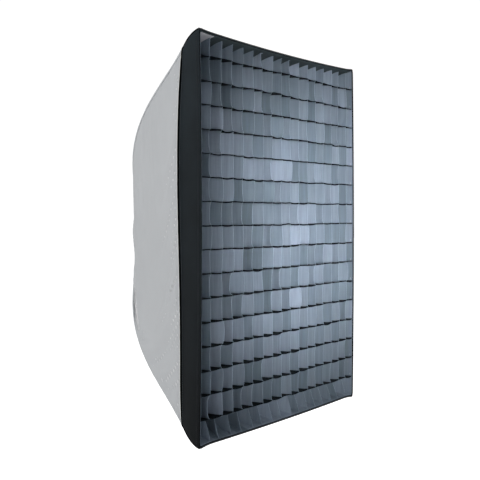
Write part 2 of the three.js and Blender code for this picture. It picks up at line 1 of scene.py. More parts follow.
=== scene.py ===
"""Looks for a rectangular softbox with an egg-crate grid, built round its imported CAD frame.

Metres, +Z up. The box's front faces -Y, and a depth is measured backwards from the front edge of
its lip. Every fabric part is a sheet laid over the frame's shape, and the shell is draped by a
cloth simulation.
"""
import bmesh
import bpy
import math
import random
import numpy as np
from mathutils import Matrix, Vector, noise


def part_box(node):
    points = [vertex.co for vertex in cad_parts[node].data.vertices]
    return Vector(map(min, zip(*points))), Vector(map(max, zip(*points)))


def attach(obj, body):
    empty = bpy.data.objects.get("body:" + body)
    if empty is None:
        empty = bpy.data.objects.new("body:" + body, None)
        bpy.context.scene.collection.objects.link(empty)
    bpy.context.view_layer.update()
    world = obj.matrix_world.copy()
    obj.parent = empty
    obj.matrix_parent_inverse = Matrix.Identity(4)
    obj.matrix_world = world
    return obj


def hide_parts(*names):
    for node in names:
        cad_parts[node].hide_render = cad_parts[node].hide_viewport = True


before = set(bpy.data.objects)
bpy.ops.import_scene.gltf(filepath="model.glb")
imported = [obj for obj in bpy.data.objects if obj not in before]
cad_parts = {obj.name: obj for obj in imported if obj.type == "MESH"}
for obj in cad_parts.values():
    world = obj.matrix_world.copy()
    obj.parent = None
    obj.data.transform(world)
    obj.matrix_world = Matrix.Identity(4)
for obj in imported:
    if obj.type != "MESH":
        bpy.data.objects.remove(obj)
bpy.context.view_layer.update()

MM = 0.001
CORNERS = {
    "top_left": (-1, 1), "top_right": (1, 1),
    "bottom_left": (-1, -1), "bottom_right": (1, -1),
}

# ---- driving sizes, from the frame where it has them -----------------------------------------

FRONT_BOW = 4.5 * MM
FRONT_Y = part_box("lip_left")[0][1] + FRONT_BOW
HALF_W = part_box("lip_right")[1][0]
HALF_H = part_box("lip_top")[1][2]
DIAGONAL = math.hypot(HALF_W, HALF_H)
CORNER_X = HALF_W / DIAGONAL
CORNER_Z = HALF_H / DIAGONAL
GRID_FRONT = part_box("grid_lattice")[0][1] - FRONT_Y
GRID_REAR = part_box("grid_lattice")[1][1] - FRONT_Y
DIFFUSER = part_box("front_diffuser")[0][1] - FRONT_Y
BAFFLE_LOW, BAFFLE_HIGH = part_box("inner_baffle")

LIP_DEPTH = 73 * MM
LIP_SCALLOP = 10.5 * MM
LIP_FLARE = 28 * MM
LIP_CURVE = 1.7
CORNER_LIFT = 2.5 * MM
CORNER_DROP = 5.5 * MM
FABRIC = 0.9 * MM
SEAM_POINTS = np.array([
    (LIP_DEPTH, DIAGONAL - LIP_FLARE / CORNER_Z), (200 * MM, 419 * MM),
    (392 * MM, 353 * MM), (477 * MM, 138 * MM),
])
SHELL_SAG = 8 * MM
COLUMNS = ROWS = 17
ROD_RADIUS = 2.5 * MM
ROD_INSET = 13 * MM
PIVOT = (476 * MM, 92 * MM)
SOCKET_LENGTH = 46 * MM

rng = random.Random(7)


# ---- materials -------------------------------------------------------------------------------

class Nodes:
    """A material's node tree, with short calls for the nodes that these materials use."""

    def __init__(self, name):
        self.material = bpy.data.materials.get(name) or bpy.data.materials.new(name)
        self.material.use_nodes = True
        self.tree = self.material.node_tree
        self.shader = self.tree.nodes["Principled BSDF"]

    def add(self, kind, inputs=None, **settings):
        node = self.tree.nodes.new("ShaderNode" + kind)
        for key, value in settings.items():
            setattr(node, key, value)
        for key, value in (inputs or {}).items():
            if isinstance(value, bpy.types.NodeSocket):
                self.tree.links.new(value, node.inputs[key])
            else:
                node.inputs[key].default_value = value
        return node

    def set(self, **values):
        for key, value in values.items():
            socket = self.shader.inputs[key.replace("_", " ")]
            if isinstance(value, bpy.types.NodeSocket):
                self.tree.links.new(value, socket)
            else:
                socket.default_value = value

    def math(self, operation, a, b=0.0, c=0.0):
        return self.add("Math", {0: a, 1: b, 2: c}, operation=operation).outputs[0]

    def place(self):
        return self.add("TexCoord").outputs["Object"]

    def cloth_uv(self):
        return self.add("TexCoord").outputs["UV"]

    def weave(self, uv, thread):
        """Height of plain-woven threads that lie a thread apart."""
        parts = self.add("SeparateXYZ", {0: uv}).outputs
        warp, weft = (self.math("SINE", self.math("MULTIPLY", parts[k], math.pi / thread)) for k in (0, 1))
        return self.math("MULTIPLY", warp, weft)

    def varied(self, factor, amount, middle):
        """A value that a noise moves by half of amount either way from middle."""
        return self.math("ADD", self.math("MULTIPLY", factor, amount), middle - amount / 2)

    def mixed(self, a, b, factor=1.0, blend="MIX"):
        node = self.add("Mix", {"Factor": factor, "A": a, "B": b}, data_type="RGBA", blend_type=blend)
        return node.outputs["Result"]

    def bump(self, height, strength, distance, normal=None):
        inputs = {"Height": height, "Strength": strength, "Distance": distance}
        if normal is not None:
            inputs["Normal"] = normal
        return self.add("Bump", inputs).outputs["Normal"]

    def noise(self, vector, scale, detail=4.0, roughness=0.5):
        inputs = {"Vector": vector, "Scale": scale, "Detail": detail, "Roughness": roughness}
        return self.add("TexNoise", inputs).outputs["Fac"]

    def ramp(self, factor, stops):
        node = self.add("ValToRGB", {"Fac": factor})
        elements = node.color_ramp.elements
        elements[0].position, elements[0].color = stops[0][0], (*stops[0][1], 1)
        elements[1].position, elements[1].color = stops[-1][0], (*stops[-1][1], 1)
        for position, color in stops[1:-1]:
            elements.new(position).color = (*color, 1)
        return node.outputs["Color"]


def scaled(color, factor):
    return tuple(min(1.0, c * factor) for c in color)


def woven(name, color, thread, bump, roughness, mottle=0.08, specular=0.35):
    """Plain-woven cloth: threads over and under each other, with a slow change of tone."""
    m = Nodes(name)
    uv, place = m.cloth_uv(), m.place()
    weave = m.weave(uv, thread)
    cloud = m.noise(place, 9.0, 5.0, 0.6)
    speck = m.noise(uv, 900.0, 2.0, 0.6)
    tone = m.math("ADD", m.math("MULTIPLY", cloud, 0.7), m.math("MULTIPLY", speck, 0.3))
    m.set(Base_Color=m.ramp(tone, [(0.3, scaled(color, 1 - mottle)), (0.7, scaled(color, 1 + mottle))]))
    m.set(Roughness=m.varied(speck, 0.12, roughness), Specular_IOR_Level=specular)
    creased = m.bump(m.noise(place, 38.0, 3.0, 0.55), 0.25, 1.2 * MM)
    m.set(Normal=m.bump(weave, bump, 0.12 * MM, creased))
    return m.material


def silver_lining():
    """The reflective coating inside the shell: a pebbled silver film on cloth."""
    m = Nodes("silver_lining")
    uv = m.cloth_uv()
    pebble = m.add("TexVoronoi", {"Vector": uv, "Scale": 420.0}, feature="SMOOTH_F1").outputs["Distance"]
    tone = m.noise(m.place(), 14.0, 4.0, 0.6)
    m.set(Base_Color=m.ramp(tone, [(0.3, (0.66, 0.67, 0.68)), (0.7, (0.8, 0.8, 0.81))]))
    m.set(Metallic=0.85, Roughness=m.math("ADD", m.math("MULTIPLY", tone, 0.15), 0.3))
    m.set(Normal=m.bump(pebble, 0.5, 0.3 * MM, m.bump(tone, 0.3, 2 * MM)))
    return m.material


def diffusion_cloth():
    """Thin white cloth that lets light through."""
    m = Nodes("diffusion_cloth")
    uv = m.cloth_uv()
    cloud = m.noise(uv, 12.0, 4.0, 0.55)
    m.set(Base_Color=m.ramp(cloud, [(0.3, (0.84, 0.84, 0.82)), (0.7, (0.92, 0.92, 0.9))]))
    m.set(Roughness=m.math("ADD", m.math("MULTIPLY", cloud, 0.1), 0.78))
    m.set(Subsurface_Weight=0.25, Subsurface_Scale=3 * MM)
    m.set(Normal=m.bump(m.weave(uv, 0.5 * MM), 0.25, 0.08 * MM, m.bump(cloud, 0.3, 3 * MM)))
    return m.material


def loop_tape():
    """Hook-and-loop tape: a dense mat of tiny loops."""
    m = Nodes("loop_tape")
    uv = m.cloth_uv()
    fuzz = m.add("TexVoronoi", {"Vector": uv, "Scale": 700.0}).outputs["Distance"]
    clump = m.noise(uv, 260.0, 3.0, 0.6)
    m.set(Base_Color=m.ramp(fuzz, [(0.1, (0.022, 0.022, 0.024)), (0.7, (0.007, 0.007, 0.008))]))
    m.set(Roughness=m.math("ADD", m.math("MULTIPLY", clump, 0.1), 0.85), Sheen_Weight=0.35)
    m.set(Normal=m.bump(fuzz, 0.8, 0.5 * MM, m.bump(clump, 0.6, 0.8 * MM)))
    return m.material


def metal(name, color, roughness, brushed=0.0, cast=0.0, metallic=1.0, wear=None):
    """Machined or cast metal: fine grain, faint smears, and wear on its edges."""
    m = Nodes(name)
    place = m.place()
    smear = m.noise(place, 55.0, 4.0, 0.6)
    base = m.ramp(smear, [(0.3, scaled(color, 0.88)), (0.7, scaled(color, 1.08))])
    if wear:
        edge = m.ramp(m.add("NewGeometry").outputs["Pointiness"], [(0.5, (0, 0, 0)), (0.56, (1, 1, 1))])
        scuff = m.math("MULTIPLY", edge, m.noise(place, 400.0, 3.0, 0.7))
        base = m.mixed(base, (*wear, 1), scuff)
    m.set(Base_Color=base, Metallic=metallic, Roughness=m.varied(smear, 0.16, roughness))
    stretched = m.add("Mapping", {"Vector": place, "Scale": (1.0, 14.0, 1.0)}).outputs[0]
    normal = m.bump(m.noise(stretched, 500.0, 2.0, 0.6), brushed, 0.05 * MM)
    m.set(Normal=m.bump(m.noise(place, 1300.0, 3.0, 0.7), cast, 0.12 * MM, normal))
    return m.material


def moulded(name, color):
    """Moulded plastic with a fine spark-eroded grain."""
    m = Nodes(name)
    place = m.place()
    slow = m.noise(place, 60.0, 3.0, 0.5)
    m.set(Base_Color=m.ramp(slow, [(0.3, scaled(color, 0.85)), (0.7, scaled(color, 1.2))]))
    m.set(Roughness=m.varied(slow, 0.14, 0.5))
    m.set(Normal=m.bump(m.noise(place, 1500.0, 2.0, 0.6), 0.3, 0.08 * MM))
    return m.material


def cell_cloth(name, color, spread):
    """The upright strips' cloth. Each cell's piece has its own slight shade and hue, and fine streaks."""
    material = woven(name, color, 0.5 * MM, 0.3, 0.6, mottle=0.08, specular=0.2)
    m = Nodes(name)
    place = m.place()
    parts = m.add("SeparateXYZ", {0: place}).outputs
    across = m.math("FLOOR", m.math("MULTIPLY_ADD", parts[0], COLUMNS / (2 * HALF_W), COLUMNS / 2 + 0.5))
    upward = m.math("FLOOR", m.math("MULTIPLY_ADD", parts[2], ROWS / (2 * HALF_H), ROWS / 2))
    cell = m.add("CombineXYZ", {"X": across, "Y": upward}).outputs[0]
    chance = m.add("TexWhiteNoise", {"Vector": cell}, noise_dimensions="3D").outputs["Value"]
    low, high = scaled(color, 1 - spread), scaled(color, 1 + spread)
    lilac, teal = (high[0] * 1.03, high[1] * 0.98, high[2]), (low[0] * 0.95, low[1] * 1.02, low[2])
    shade = m.ramp(chance, [(0.0, teal), (0.5, color), (1.0, lilac)])
    upright = m.add("Mapping", {"Vector": place, "Scale": (1.0, 1.0, 0.06)}).outputs[0]
    streak = m.ramp(m.noise(upright, 130.0, 3.0, 0.6), [(0.35, (0.84, 0.84, 0.84)), (0.65, (1.0, 1.0, 1.0))])
    cloth = m.shader.inputs["Base Color"].links[0].from_socket
    m.set(Base_Color=m.mixed(m.mixed(cloth, shade, 0.72), streak, blend="MULTIPLY"))
    return material


def painted_top_light(material, low, high):
    """Paints light falling from above into a cloth: its colour goes evenly from low times itself at the box's
    bottom to high at its top, painted shade below and painted light above.
    """
    m = Nodes(material.name)
    height = m.add("SeparateXYZ", {0: m.place()}).outputs[2]
    share = m.add("MapRange", {
        "Value": height, "From Min": -HALF_H, "From Max": HALF_H, "To Min": low, "To Max": high,
    }).outputs[0]
    painted_light = m.add("CombineColor", {"Red": share, "Green": share, "Blue": share}).outputs[0]
    m.set(Base_Color=m.mixed(m.shader.inputs["Base Color"].links[0].from_socket, painted_light, blend="MULTIPLY"))
    return material


SHELL_GREY = (0.47, 0.485, 0.5)
LIP_BLACK = (0.0085, 0.0125, 0.0155)
GRID_SLATE = (0.262, 0.324, 0.402)

MAT = {
    "shell": woven("shell_nylon", SHELL_GREY, 0.6 * MM, 0.25, 0.62, mottle=0.03),
    "shell_seam": woven("shell_binding", scaled(SHELL_GREY, 1.12), 0.9 * MM, 0.4, 0.7, mottle=0.05),
    "piping": woven("pale_piping", (0.8, 0.81, 0.8), 0.8 * MM, 0.4, 0.7, mottle=0.05),
    "silver": silver_lining(),
    # The lip's colour is darker low and lighter high: painted light from above.
    "lip": painted_top_light(woven("lip_nylon", LIP_BLACK, 0.8 * MM, 0.5, 0.72, mottle=0.3, specular=0.12), 0.32, 1.5),
    "lip_seam": woven("lip_binding", (0.003, 0.0035, 0.004), 1.0 * MM, 0.6, 0.85, mottle=0.15, specular=0.05),
    "grid": cell_cloth("grid_cloth", GRID_SLATE, 0.36),
    # A lighter copy of the slate cloth for the strips' front edges: a painted highlight.
    "grid_edge": woven("front_edge_painted_highlight", scaled(GRID_SLATE, 1.7), 0.5 * MM, 0.3, 0.7,
                       mottle=0.2, specular=0.2),
    # Near-black cloth for the level strips: painted shade for their faces, which lie edge-on to the key
    # light.
    "grid_level": woven("level_strip_painted_shade", (0.007, 0.01, 0.013), 0.5 * MM, 0.3, 0.85,
                        mottle=0.15, specular=0.04),
    # Dark cloth for the top border's inner face, darker than the slate of the other sides: painted shade.
    "border": woven("top_border_painted_shade", (0.083, 0.108, 0.118), 0.9 * MM, 0.9, 0.85, mottle=0.45, specular=0.08),
    # A pale grey sheet: a painted highlight in the border's upper left corner.
    "patch": woven("corner_painted_highlight", (0.8, 0.8, 0.86), 0.7 * MM, 0.5, 0.75, mottle=0.08, specular=0.2),
    "white": diffusion_cloth(),
    "hem": woven("white_hem", (0.8, 0.8, 0.78), 0.8 * MM, 0.45, 0.8, mottle=0.04),
    "tape": loop_tape(),
    "elastic": woven("elastic_webbing", (0.016, 0.016, 0.018), 1.3 * MM, 0.9, 0.8, mottle=0.25),
    "thread": woven("grey_thread", (0.55, 0.56, 0.57), 0.3 * MM, 0.3, 0.7),
    "dark_thread": woven("black_thread", (0.03, 0.033, 0.038), 0.3 * MM, 0.3, 0.7),
    "tack": woven("tack_thread", (0.5, 0.52, 0.56), 0.3 * MM, 0.3, 0.7),
    "slate_binding": woven("slate_binding", (0.055, 0.062, 0.07), 0.9 * MM, 0.5, 0.75,
                           mottle=0.2, specular=0.15),
    "seam_thread": woven("slate_thread", (0.07, 0.085, 0.095), 0.3 * MM, 0.3, 0.7),
    "spring_steel": metal("spring_steel", (0.47, 0.48, 0.5), 0.28, brushed=0.4),
    "cast": metal("cast_alloy", (0.55, 0.56, 0.57), 0.42, cast=0.5, wear=(0.78, 0.78, 0.79)),
    "steel": metal("turned_steel", (0.56, 0.57, 0.58), 0.26, brushed=0.5),
    "black_metal": metal("powder_coat", (0.018, 0.018, 0.02), 0.5,
                         cast=0.6, metallic=0.0, wear=(0.2, 0.2, 0.21)),
    "plastic": moulded("black_nylon", (0.02, 0.02, 0.022)),
}


# ---- mesh helpers ----------------------------------------------------------------------------

SHARP = math.radians(48)


def new_object(name, vertices, faces, materials, uvs=None, face_materials=None):
    mesh = bpy.data.meshes.new(name)
    mesh.from_pydata([tuple(v) for v in vertices], [], [tuple(f) for f in faces])
    for key in materials:
        mesh.materials.append(MAT[key])
    if face_materials is not None:
        mesh.polygons.foreach_set("material_index", face_materials)
    mesh.polygons.foreach_set("use_smooth", [True] * len(mesh.polygons))
    if uvs is not None:
        layer = mesh.uv_layers.new(name="cloth")
        loops = np.zeros(len(mesh.loops), dtype=int)
        mesh.loops.foreach_get("vertex_index", loops)
        layer.data.foreach_set("uv", np.asarray(uvs, dtype=float)[loops].ravel())
    mesh.update()
    obj = bpy.data.objects.new(name, mesh)
    bpy.context.scene.collection.objects.link(obj)
    return obj


def solid_object(*arguments):
    """A closed mesh with its faces pointing out and its sharp edges marked."""
    obj = new_object(*arguments)
    bm = bmesh.new()
    bm.from_mesh(obj.data)
    bmesh.ops.recalc_face_normals(bm, faces=bm.faces)
    bm.to_mesh(obj.data)
    bm.free()
    obj.data.set_sharp_from_angle(angle=SHARP)
    return obj


def grid_faces(rows, columns, closed=False):
    faces = []
    for i in range(rows - 1):
        for j in range(columns if closed else columns - 1):
            k = (j + 1) % columns
            faces.append((i * columns + j, i * columns + k, (i + 1) * columns + k, (i + 1) * columns + j))
    return faces


def grid_rim(rows, columns):
    """The pairs of neighbours round a grid's edge, starting along its first row."""
    rim = ([j for j in range(columns)] + [i * columns + columns - 1 for i in range(1, rows)]
           + [(rows - 1) * columns + j for j in range(columns - 2, -1, -1)]
           + [i * columns for i in range(rows - 2, 0, -1)])
    return list(zip(rim, rim[1:] + rim[:1]))


def grid_normals(points):
    """Unit normals of a grid of points, shape (rows, columns, 3)."""
    n = np.cross(np.gradient(points, axis=0), np.gradient(points, axis=1))
    return n / np.maximum(np.linalg.norm(n, axis=-1, keepdims=True), 1e-12)


def run_lengths(path):
    """How far along a path each of its points lies."""
    return np.concatenate([[0], np.cumsum(np.linalg.norm(np.diff(path, axis=0), axis=1))])


def uv_grid(down, along):
    """Flat places for a grid, from its rows' places and its columns' places."""
    return np.stack(np.broadcast_arrays(down[:, None], along[None, :]), -1).reshape(-1, 2)


def surface_area(points):
    a, b, c, d = points[:-1, :-1], points[1:, :-1], points[1:, 1:], points[:-1, 1:]
    halves = np.linalg.norm(np.cross(b - a, c - a), axis=-1) + np.linalg.norm(np.cross(c - a, d - a), axis=-1)
    return float(halves.sum() / 2)


def ring_area(ring):
    return surface_area(np.concatenate([ring, ring[:, :1]], axis=1))


def cloth_sheet(name, points, thickness, outer, inner, inward, uv_size):
    """A closed thin sheet from a grid of points on its outer face. inward is a function of the points
    that gives a direction into the box, and the second face lies a thickness that way."""
    rows, columns = points.shape[:2]
    normals = grid_normals(points)
    flip = np.sign((normals * inward(points)).sum(-1, keepdims=True).mean())
    back = points + normals * flip * thickness
    vertices = np.concatenate([points.reshape(-1, 3), back.reshape(-1, 3)])
    front_faces = grid_faces(rows, columns)
    if flip > 0:
        front_faces = [f[::-1] for f in front_faces]
    count = rows * columns
    faces = list(front_faces) + [tuple(count + i for i in f[::-1]) for f in front_faces]
    kinds = [0] * len(front_faces) + [1] * len(front_faces)
    for a, b in grid_rim(rows, columns):
        quad = (a, b, count + b, count + a)
        faces.append(quad if flip > 0 else quad[::-1])
        kinds.append(0)
    uv = uv_grid(np.linspace(0, uv_size[0], rows), np.linspace(0, uv_size[1], columns))
    return solid_object(name, vertices, faces, [outer, inner], np.concatenate([uv, uv]), kinds)


def cloth_ring(name, outside, inside, materials, uv, inner_kinds, edge_kinds):
    """A closed thin band of cloth that runs all the way round, from the points of its two faces. The
    kinds give the inner face's and the edges' materials, column by column."""
    rows, columns = outside.shape[:2]
    skin = grid_faces(rows, columns, closed=True)
    count = rows * columns
    faces = skin + [tuple(count + i for i in f[::-1]) for f in skin]
    for start in (0, (rows - 1) * columns):
        for j in range(columns):
            a, b = start + j, start + (j + 1) % columns
            faces.append((a, b, count + b, count + a))
    kinds = [0] * len(skin) + inner_kinds * (rows - 1) + edge_kinds * 2
    vertices = np.concatenate([outside.reshape(-1, 3), inside.reshape(-1, 3)])
    return solid_object(name, vertices, faces, materials, uv, kinds)


def tube_faces(rings, sides):
    """Faces of a tube made of rings of points, closed at both ends."""
    ends = [tuple(range(sides))[::-1], tuple((rings - 1) * sides + j for j in range(sides))]
    return grid_faces(rings, sides, closed=True) + ends


def tube(name, path, radius, material, sides=12, up=(0, 1, 0), flatten=1.0, wobble=0.0):
    """A round or oval tube along a path of points, closed at both ends."""
    path = np.asarray(path, float)
    tangent = np.gradient(path, axis=0)
    tangent /= np.linalg.norm(tangent, axis=1, keepdims=True)
    side = np.cross(tangent, np.broadcast_to(np.asarray(up, float), path.shape))
    side /= np.maximum(np.linalg.norm(side, axis=1, keepdims=True), 1e-12)
    upright = np.cross(side, tangent)
    angles = np.linspace(0, 2 * math.pi, sides, endpoint=False)
    radii = np.full(len(path), radius)
    if wobble:
        radii = radii * (1 + wobble * np.array([noise.noise(Vector(p) * 60) for p in path]))
    rings = (path[:, None, :] + radii[:, None, None] * (
        side[:, None, :] * np.cos(angles)[None, :, None]
        + upright[:, None, :] * np.sin(angles)[None, :, None] * flatten))
    uv = uv_grid(run_lengths(path), angles * np.mean(radii))
    return solid_object(name, rings.reshape(-1, 3), tube_faces(len(path), sides), [material], uv)


STITCH_SHAPE = [(-0.5, 0.0), (-0.38, 0.8), (0.0, 1.0), (0.38, 0.8), (0.5, 0.0)]
STITCH_SIDES = 6
STITCH_FACES = tube_faces(len(STITCH_SHAPE), STITCH_SIDES)


def stitches(name, path, normal, material, pitch=5 * MM, length=3.2 * MM, radius=0.35 * MM, lift=0.25 * MM):
    """A row of thread stitches lying on a surface along a path. normal gives each point's outward way."""
    path = np.asarray(path, float)
    runs = run_lengths(path)

    def at(run, values):
        return np.array([np.interp(run, runs, values[:, i]) for i in range(3)])

    count = max(2, int(runs[-1] / pitch))
    vertices, faces = [], []
    for k in range(count):
        run = (k + 0.5) * runs[-1] / count
        centre, out = at(run, path), at(run, normal)
        ahead = at(run + 1e-4, path) - at(run - 1e-4, path)
        ahead /= np.linalg.norm(ahead)
        out -= ahead * out.dot(ahead)
        out /= np.linalg.norm(out)
        across = np.cross(ahead, out)
        faces += [tuple(len(vertices) + v for v in face) for face in STITCH_FACES]
        for along, fat in STITCH_SHAPE:
            middle = centre + ahead * along * length + out * (lift * fat)
            for q in range(STITCH_SIDES):
                a = q * 2 * math.pi / STITCH_SIDES
                vertices.append(middle + (across * math.cos(a) + out * math.sin(a)) * radius * max(fat, 0.25))
    return solid_object(name, vertices, faces, [material])


def finish_piece(obj, body, slot, *nodes):
    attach(obj, body)
    if nodes:
        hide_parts(*nodes)
    return obj


# ---- the box's shape -------------------------------------------------------------------------

SIDES = {
    "left": dict(out=(-1, 0, 0), along=(0, 0, 1), across=CORNER_X, length=CORNER_Z, draw_in=1.5 * MM),
    "right": dict(out=(1, 0, 0), along=(0, 0, 1), across=CORNER_X, length=CORNER_Z, draw_in=1.5 * MM),
    "top": dict(out=(0, 0, 1), along=(1, 0, 0), across=CORNER_Z, length=CORNER_X, draw_in=8 * MM),
    "bottom": dict(out=(0, 0, -1), along=(1, 0, 0), across=CORNER_Z, length=CORNER_X, draw_in=-1.5 * MM),
}


def bezier(points, t):
    t = np.asarray(t)[..., None]
    a, b, c, d = points
    return (1 - t) ** 3 * a + 3 * (1 - t) ** 2 * t * b + 3 * (1 - t) * t * t * c + t ** 3 * d


SEAM_TABLE = bezier(SEAM_POINTS, np.linspace(0, 1, 600))
SEAM_LENGTHS = run_lengths(SEAM_TABLE)


def seam_at(share):
    """Depth and distance from the axis at a share of the seam's length."""
    s = np.asarray(share) * SEAM_LENGTHS[-1]
    return np.interp(s, SEAM_LENGTHS, SEAM_TABLE[:, 0]), np.interp(s, SEAM_LENGTHS, SEAM_TABLE[:, 1])


def bulge(t):
    return 1 - np.asarray(t) ** 2


def lip_diagonal(depth):
    share = np.clip(np.asarray(depth) / LIP_DEPTH, 0, 1)
    return DIAGONAL - (LIP_FLARE / CORNER_Z) * share ** LIP_CURVE


def lip_sag(side, depth):
    return side["draw_in"] * (1 - 0.6 * np.clip(np.asarray(depth) / LIP_DEPTH, 0, 1))


def bowed(depth, share):
    """Depth of a point once the front edge bows forward between the corners."""
    return depth - FRONT_BOW * share * np.clip(1 - np.asarray(depth) / LIP_DEPTH, 0, 1.1)


def scallop(t):
    """How much deeper than at its corners the lip is. Its rear seam wanders a little."""
    t = np.asarray(t)
    return LIP_SCALLOP * (1 - t ** 6) * (1 + 0.43 * np.sin(math.pi * (t + 0.1)))


def on_side(side, outward, lengthwise, depth):
    outward, lengthwise, depth = np.broadcast_arrays(outward, lengthwise, depth)
    point = outward[..., None] * np.array(side["out"]) + lengthwise[..., None] * np.array(side["along"])
    point[..., 1] += FRONT_Y + depth
    return point


def round_corner(half_along, share, radius):
    """Walks from one corner's mitre to the next round a rectangle with round corners. share runs from
    -1 to 1. Gives the distance along the side and how far the outline has turned in from it."""
    straight = half_along - radius
    run = np.abs(share) * (straight + radius * math.pi / 4)
    angle = np.clip((run - straight) / radius, 0, math.pi / 4)
    along = np.where(run < straight, run, straight + radius * np.sin(angle))
    return np.sign(share) * along, radius * (1 - np.cos(angle))


def lip_surface(side, depth, share, inset=0.0, radius=7 * MM):
    """A point on the lip, at a depth and a share (-1 to 1) of the way along its side."""
    diagonal = lip_diagonal(depth)
    half_length = side["length"] * diagonal
    along, turned = round_corner(half_length - inset, share, np.maximum(radius - inset, 2 * MM))
    t = along / half_length
    outward = side["across"] * diagonal - lip_sag(side, depth) * bulge(t) - inset - turned
    point = on_side(side, outward, along, bowed(depth, bulge(t)))
    near = np.clip((np.abs(point[..., 0]) / HALF_W - 0.85) / 0.15, 0, 1) ** 2
    point[..., 2] += near * CORNER_LIFT * np.clip((point[..., 2] / HALF_H - 0.93) / 0.07, 0, 1)
    point[..., 2] -= near * CORNER_DROP * np.clip((-point[..., 2] / HALF_H - 0.93) / 0.07, 0, 1)
    return point


def scallop_depth(t):
    return LIP_DEPTH + scallop(t)


def shell_surface(side, share, t, inset=0.0, radius=6 * MM):
    """A point on the shell before it is draped. share runs back along the seam, t along the side."""
    seam_depth, diagonal = seam_at(share)
    along, turned = round_corner(side["length"] * diagonal, t, radius)
    depth = seam_depth + scallop(t) * (1 - share) ** 2
    sag = lip_sag(side, LIP_DEPTH) * (1 - share) + SHELL_SAG * np.sin(math.pi * share)
    return on_side(side, side["across"] * diagonal - sag * bulge(t) - turned - inset, along, depth)


def towards_axis(points):
    away = points * np.array([1.0, 0.0, 1.0])
    return -away / np.maximum(np.linalg.norm(away, axis=-1, keepdims=True), 1e-9)


def rearwards(points):
    return np.array([0.0, 1.0, 0.0]) + points * 0


def corner_point(corner, depth, radius):
    x, z = CORNERS[corner]
    return np.array([x * CORNER_X * radius, FRONT_Y + depth, z * CORNER_Z * radius])


# ---- shell -----------------------------------------------------------------------------------

PANEL_ROWS, PANEL_COLUMNS = 46, 64
DRAPE_FRAMES = 18
DRAPE_LIMIT = 9 * MM
SHELL_STITCH_SHARES = (0.018, 0.03)
DRAPE_CLOTH = {
    "quality": 6, "mass": 0.12, "tension_stiffness": 25, "compression_stiffness": 8,
    "shear_stiffness": 6, "bending_stiffness": 0.25, "shrink_min": -0.008, "vertex_group_mass": "held",
}


def drape(name, points):
    """Hangs one panel in cloth simulation, held along all four edges, and gives back its points."""
    rows, columns = points.shape[:2]
    obj = new_object(name, points.reshape(-1, 3), grid_faces(rows, columns), ["shell"])
    held = obj.vertex_groups.new(name="held")
    edge = [i * columns + j for i in range(rows) for j in range(columns)
            if i in (0, rows - 1) or j in (0, columns - 1)]
    held.add(edge, 1.0, "REPLACE")
    cloth = obj.modifiers.new("drape", "CLOTH")
    for key, value in DRAPE_CLOTH.items():
        setattr(cloth.settings, key, value)
    cloth.point_cache.frame_start = 1
    cloth.point_cache.frame_end = DRAPE_FRAMES
    scene = bpy.context.scene
    for step in range(1, DRAPE_FRAMES + 1):
        scene.frame_set(step)
    evaluated = obj.evaluated_get(bpy.context.evaluated_depsgraph_get())
    result = np.zeros(rows * columns * 3)
    evaluated.data.vertices.foreach_get("co", result)
    scene.frame_set(1)
    bpy.data.objects.remove(obj, do_unlink=True)
    moved = result.reshape(rows, columns, 3) - points
    distance = np.linalg.norm(moved, axis=-1, keepdims=True)
    return points + moved * np.minimum(1, DRAPE_LIMIT / np.maximum(distance, 1e-9))


panel_points = {}
for side_name, side in SIDES.items():
    share, t = np.meshgrid(np.linspace(0, 1, PANEL_ROWS), np.linspace(-1, 1, PANEL_COLUMNS), indexing="ij")
    points = shell_surface(side, share, t)
    points = drape("drape_" + side_name, points)
    panel_points[side_name] = points
    front_width = 2 * side["length"] * SEAM_POINTS[0][1]
    panel = cloth_sheet("shell_" + side_name, points, FABRIC, "shell", "silver", towards_axis,
                        (SEAM_LENGTHS[-1], front_width))
    finish_piece(panel, "box", "shell_fabric", "shell_panel_" + side_name)

for corner in CORNERS:
    share = np.linspace(0, 1, 60)
    depth, radius = seam_at(share)
    path = np.array([corner_point(corner, d, r - 3.6 * MM) for d, r in zip(depth, radius)])
    binding = tube("seam_binding_" + corner, path, 3.1 * MM, "shell_seam", 12, flatten=0.8, wobble=0.15)
    finish_piece(binding, "box", "shell_fabric")

for side_name, side in SIDES.items():
    t = np.linspace(-1, 1, 90)
    path = shell_surface(side, np.zeros_like(t), t, inset=-0.4 * MM)
    piping = tube("piping_" + side_name, path, 1.7 * MM, "piping", 10, wobble=0.1)
    finish_piece(piping, "box", "shell_fabric")
    for number, offset in enumerate(SHELL_STITCH_SHARES):
        points = panel_points[side_name]
        row = offset * (PANEL_ROWS - 1)
        low, part = int(row), row - int(row)
        line = points[low] * (1 - part) + points[low + 1] * part
        outward = -towards_axis(line)
        thread = stitches(f"shell_stitching_{side_name}_{number + 1}", line, outward, "thread", lift=0.4 * MM)
        finish_piece(thread, "box", "shell_fabric")

# ---- rear collar -----------------------------------------------------------------------------

NECK_RADIUS = 66 * MM
COLLAR_NECK_DEPTH = 489 * MM
COLLAR_DISH = 8 * MM
COLLAR_PUFF = 8 * MM
GATHERS = 44
GATHER_HEIGHT = 1.6 * MM
COLLAR_SQUARENESS = 12


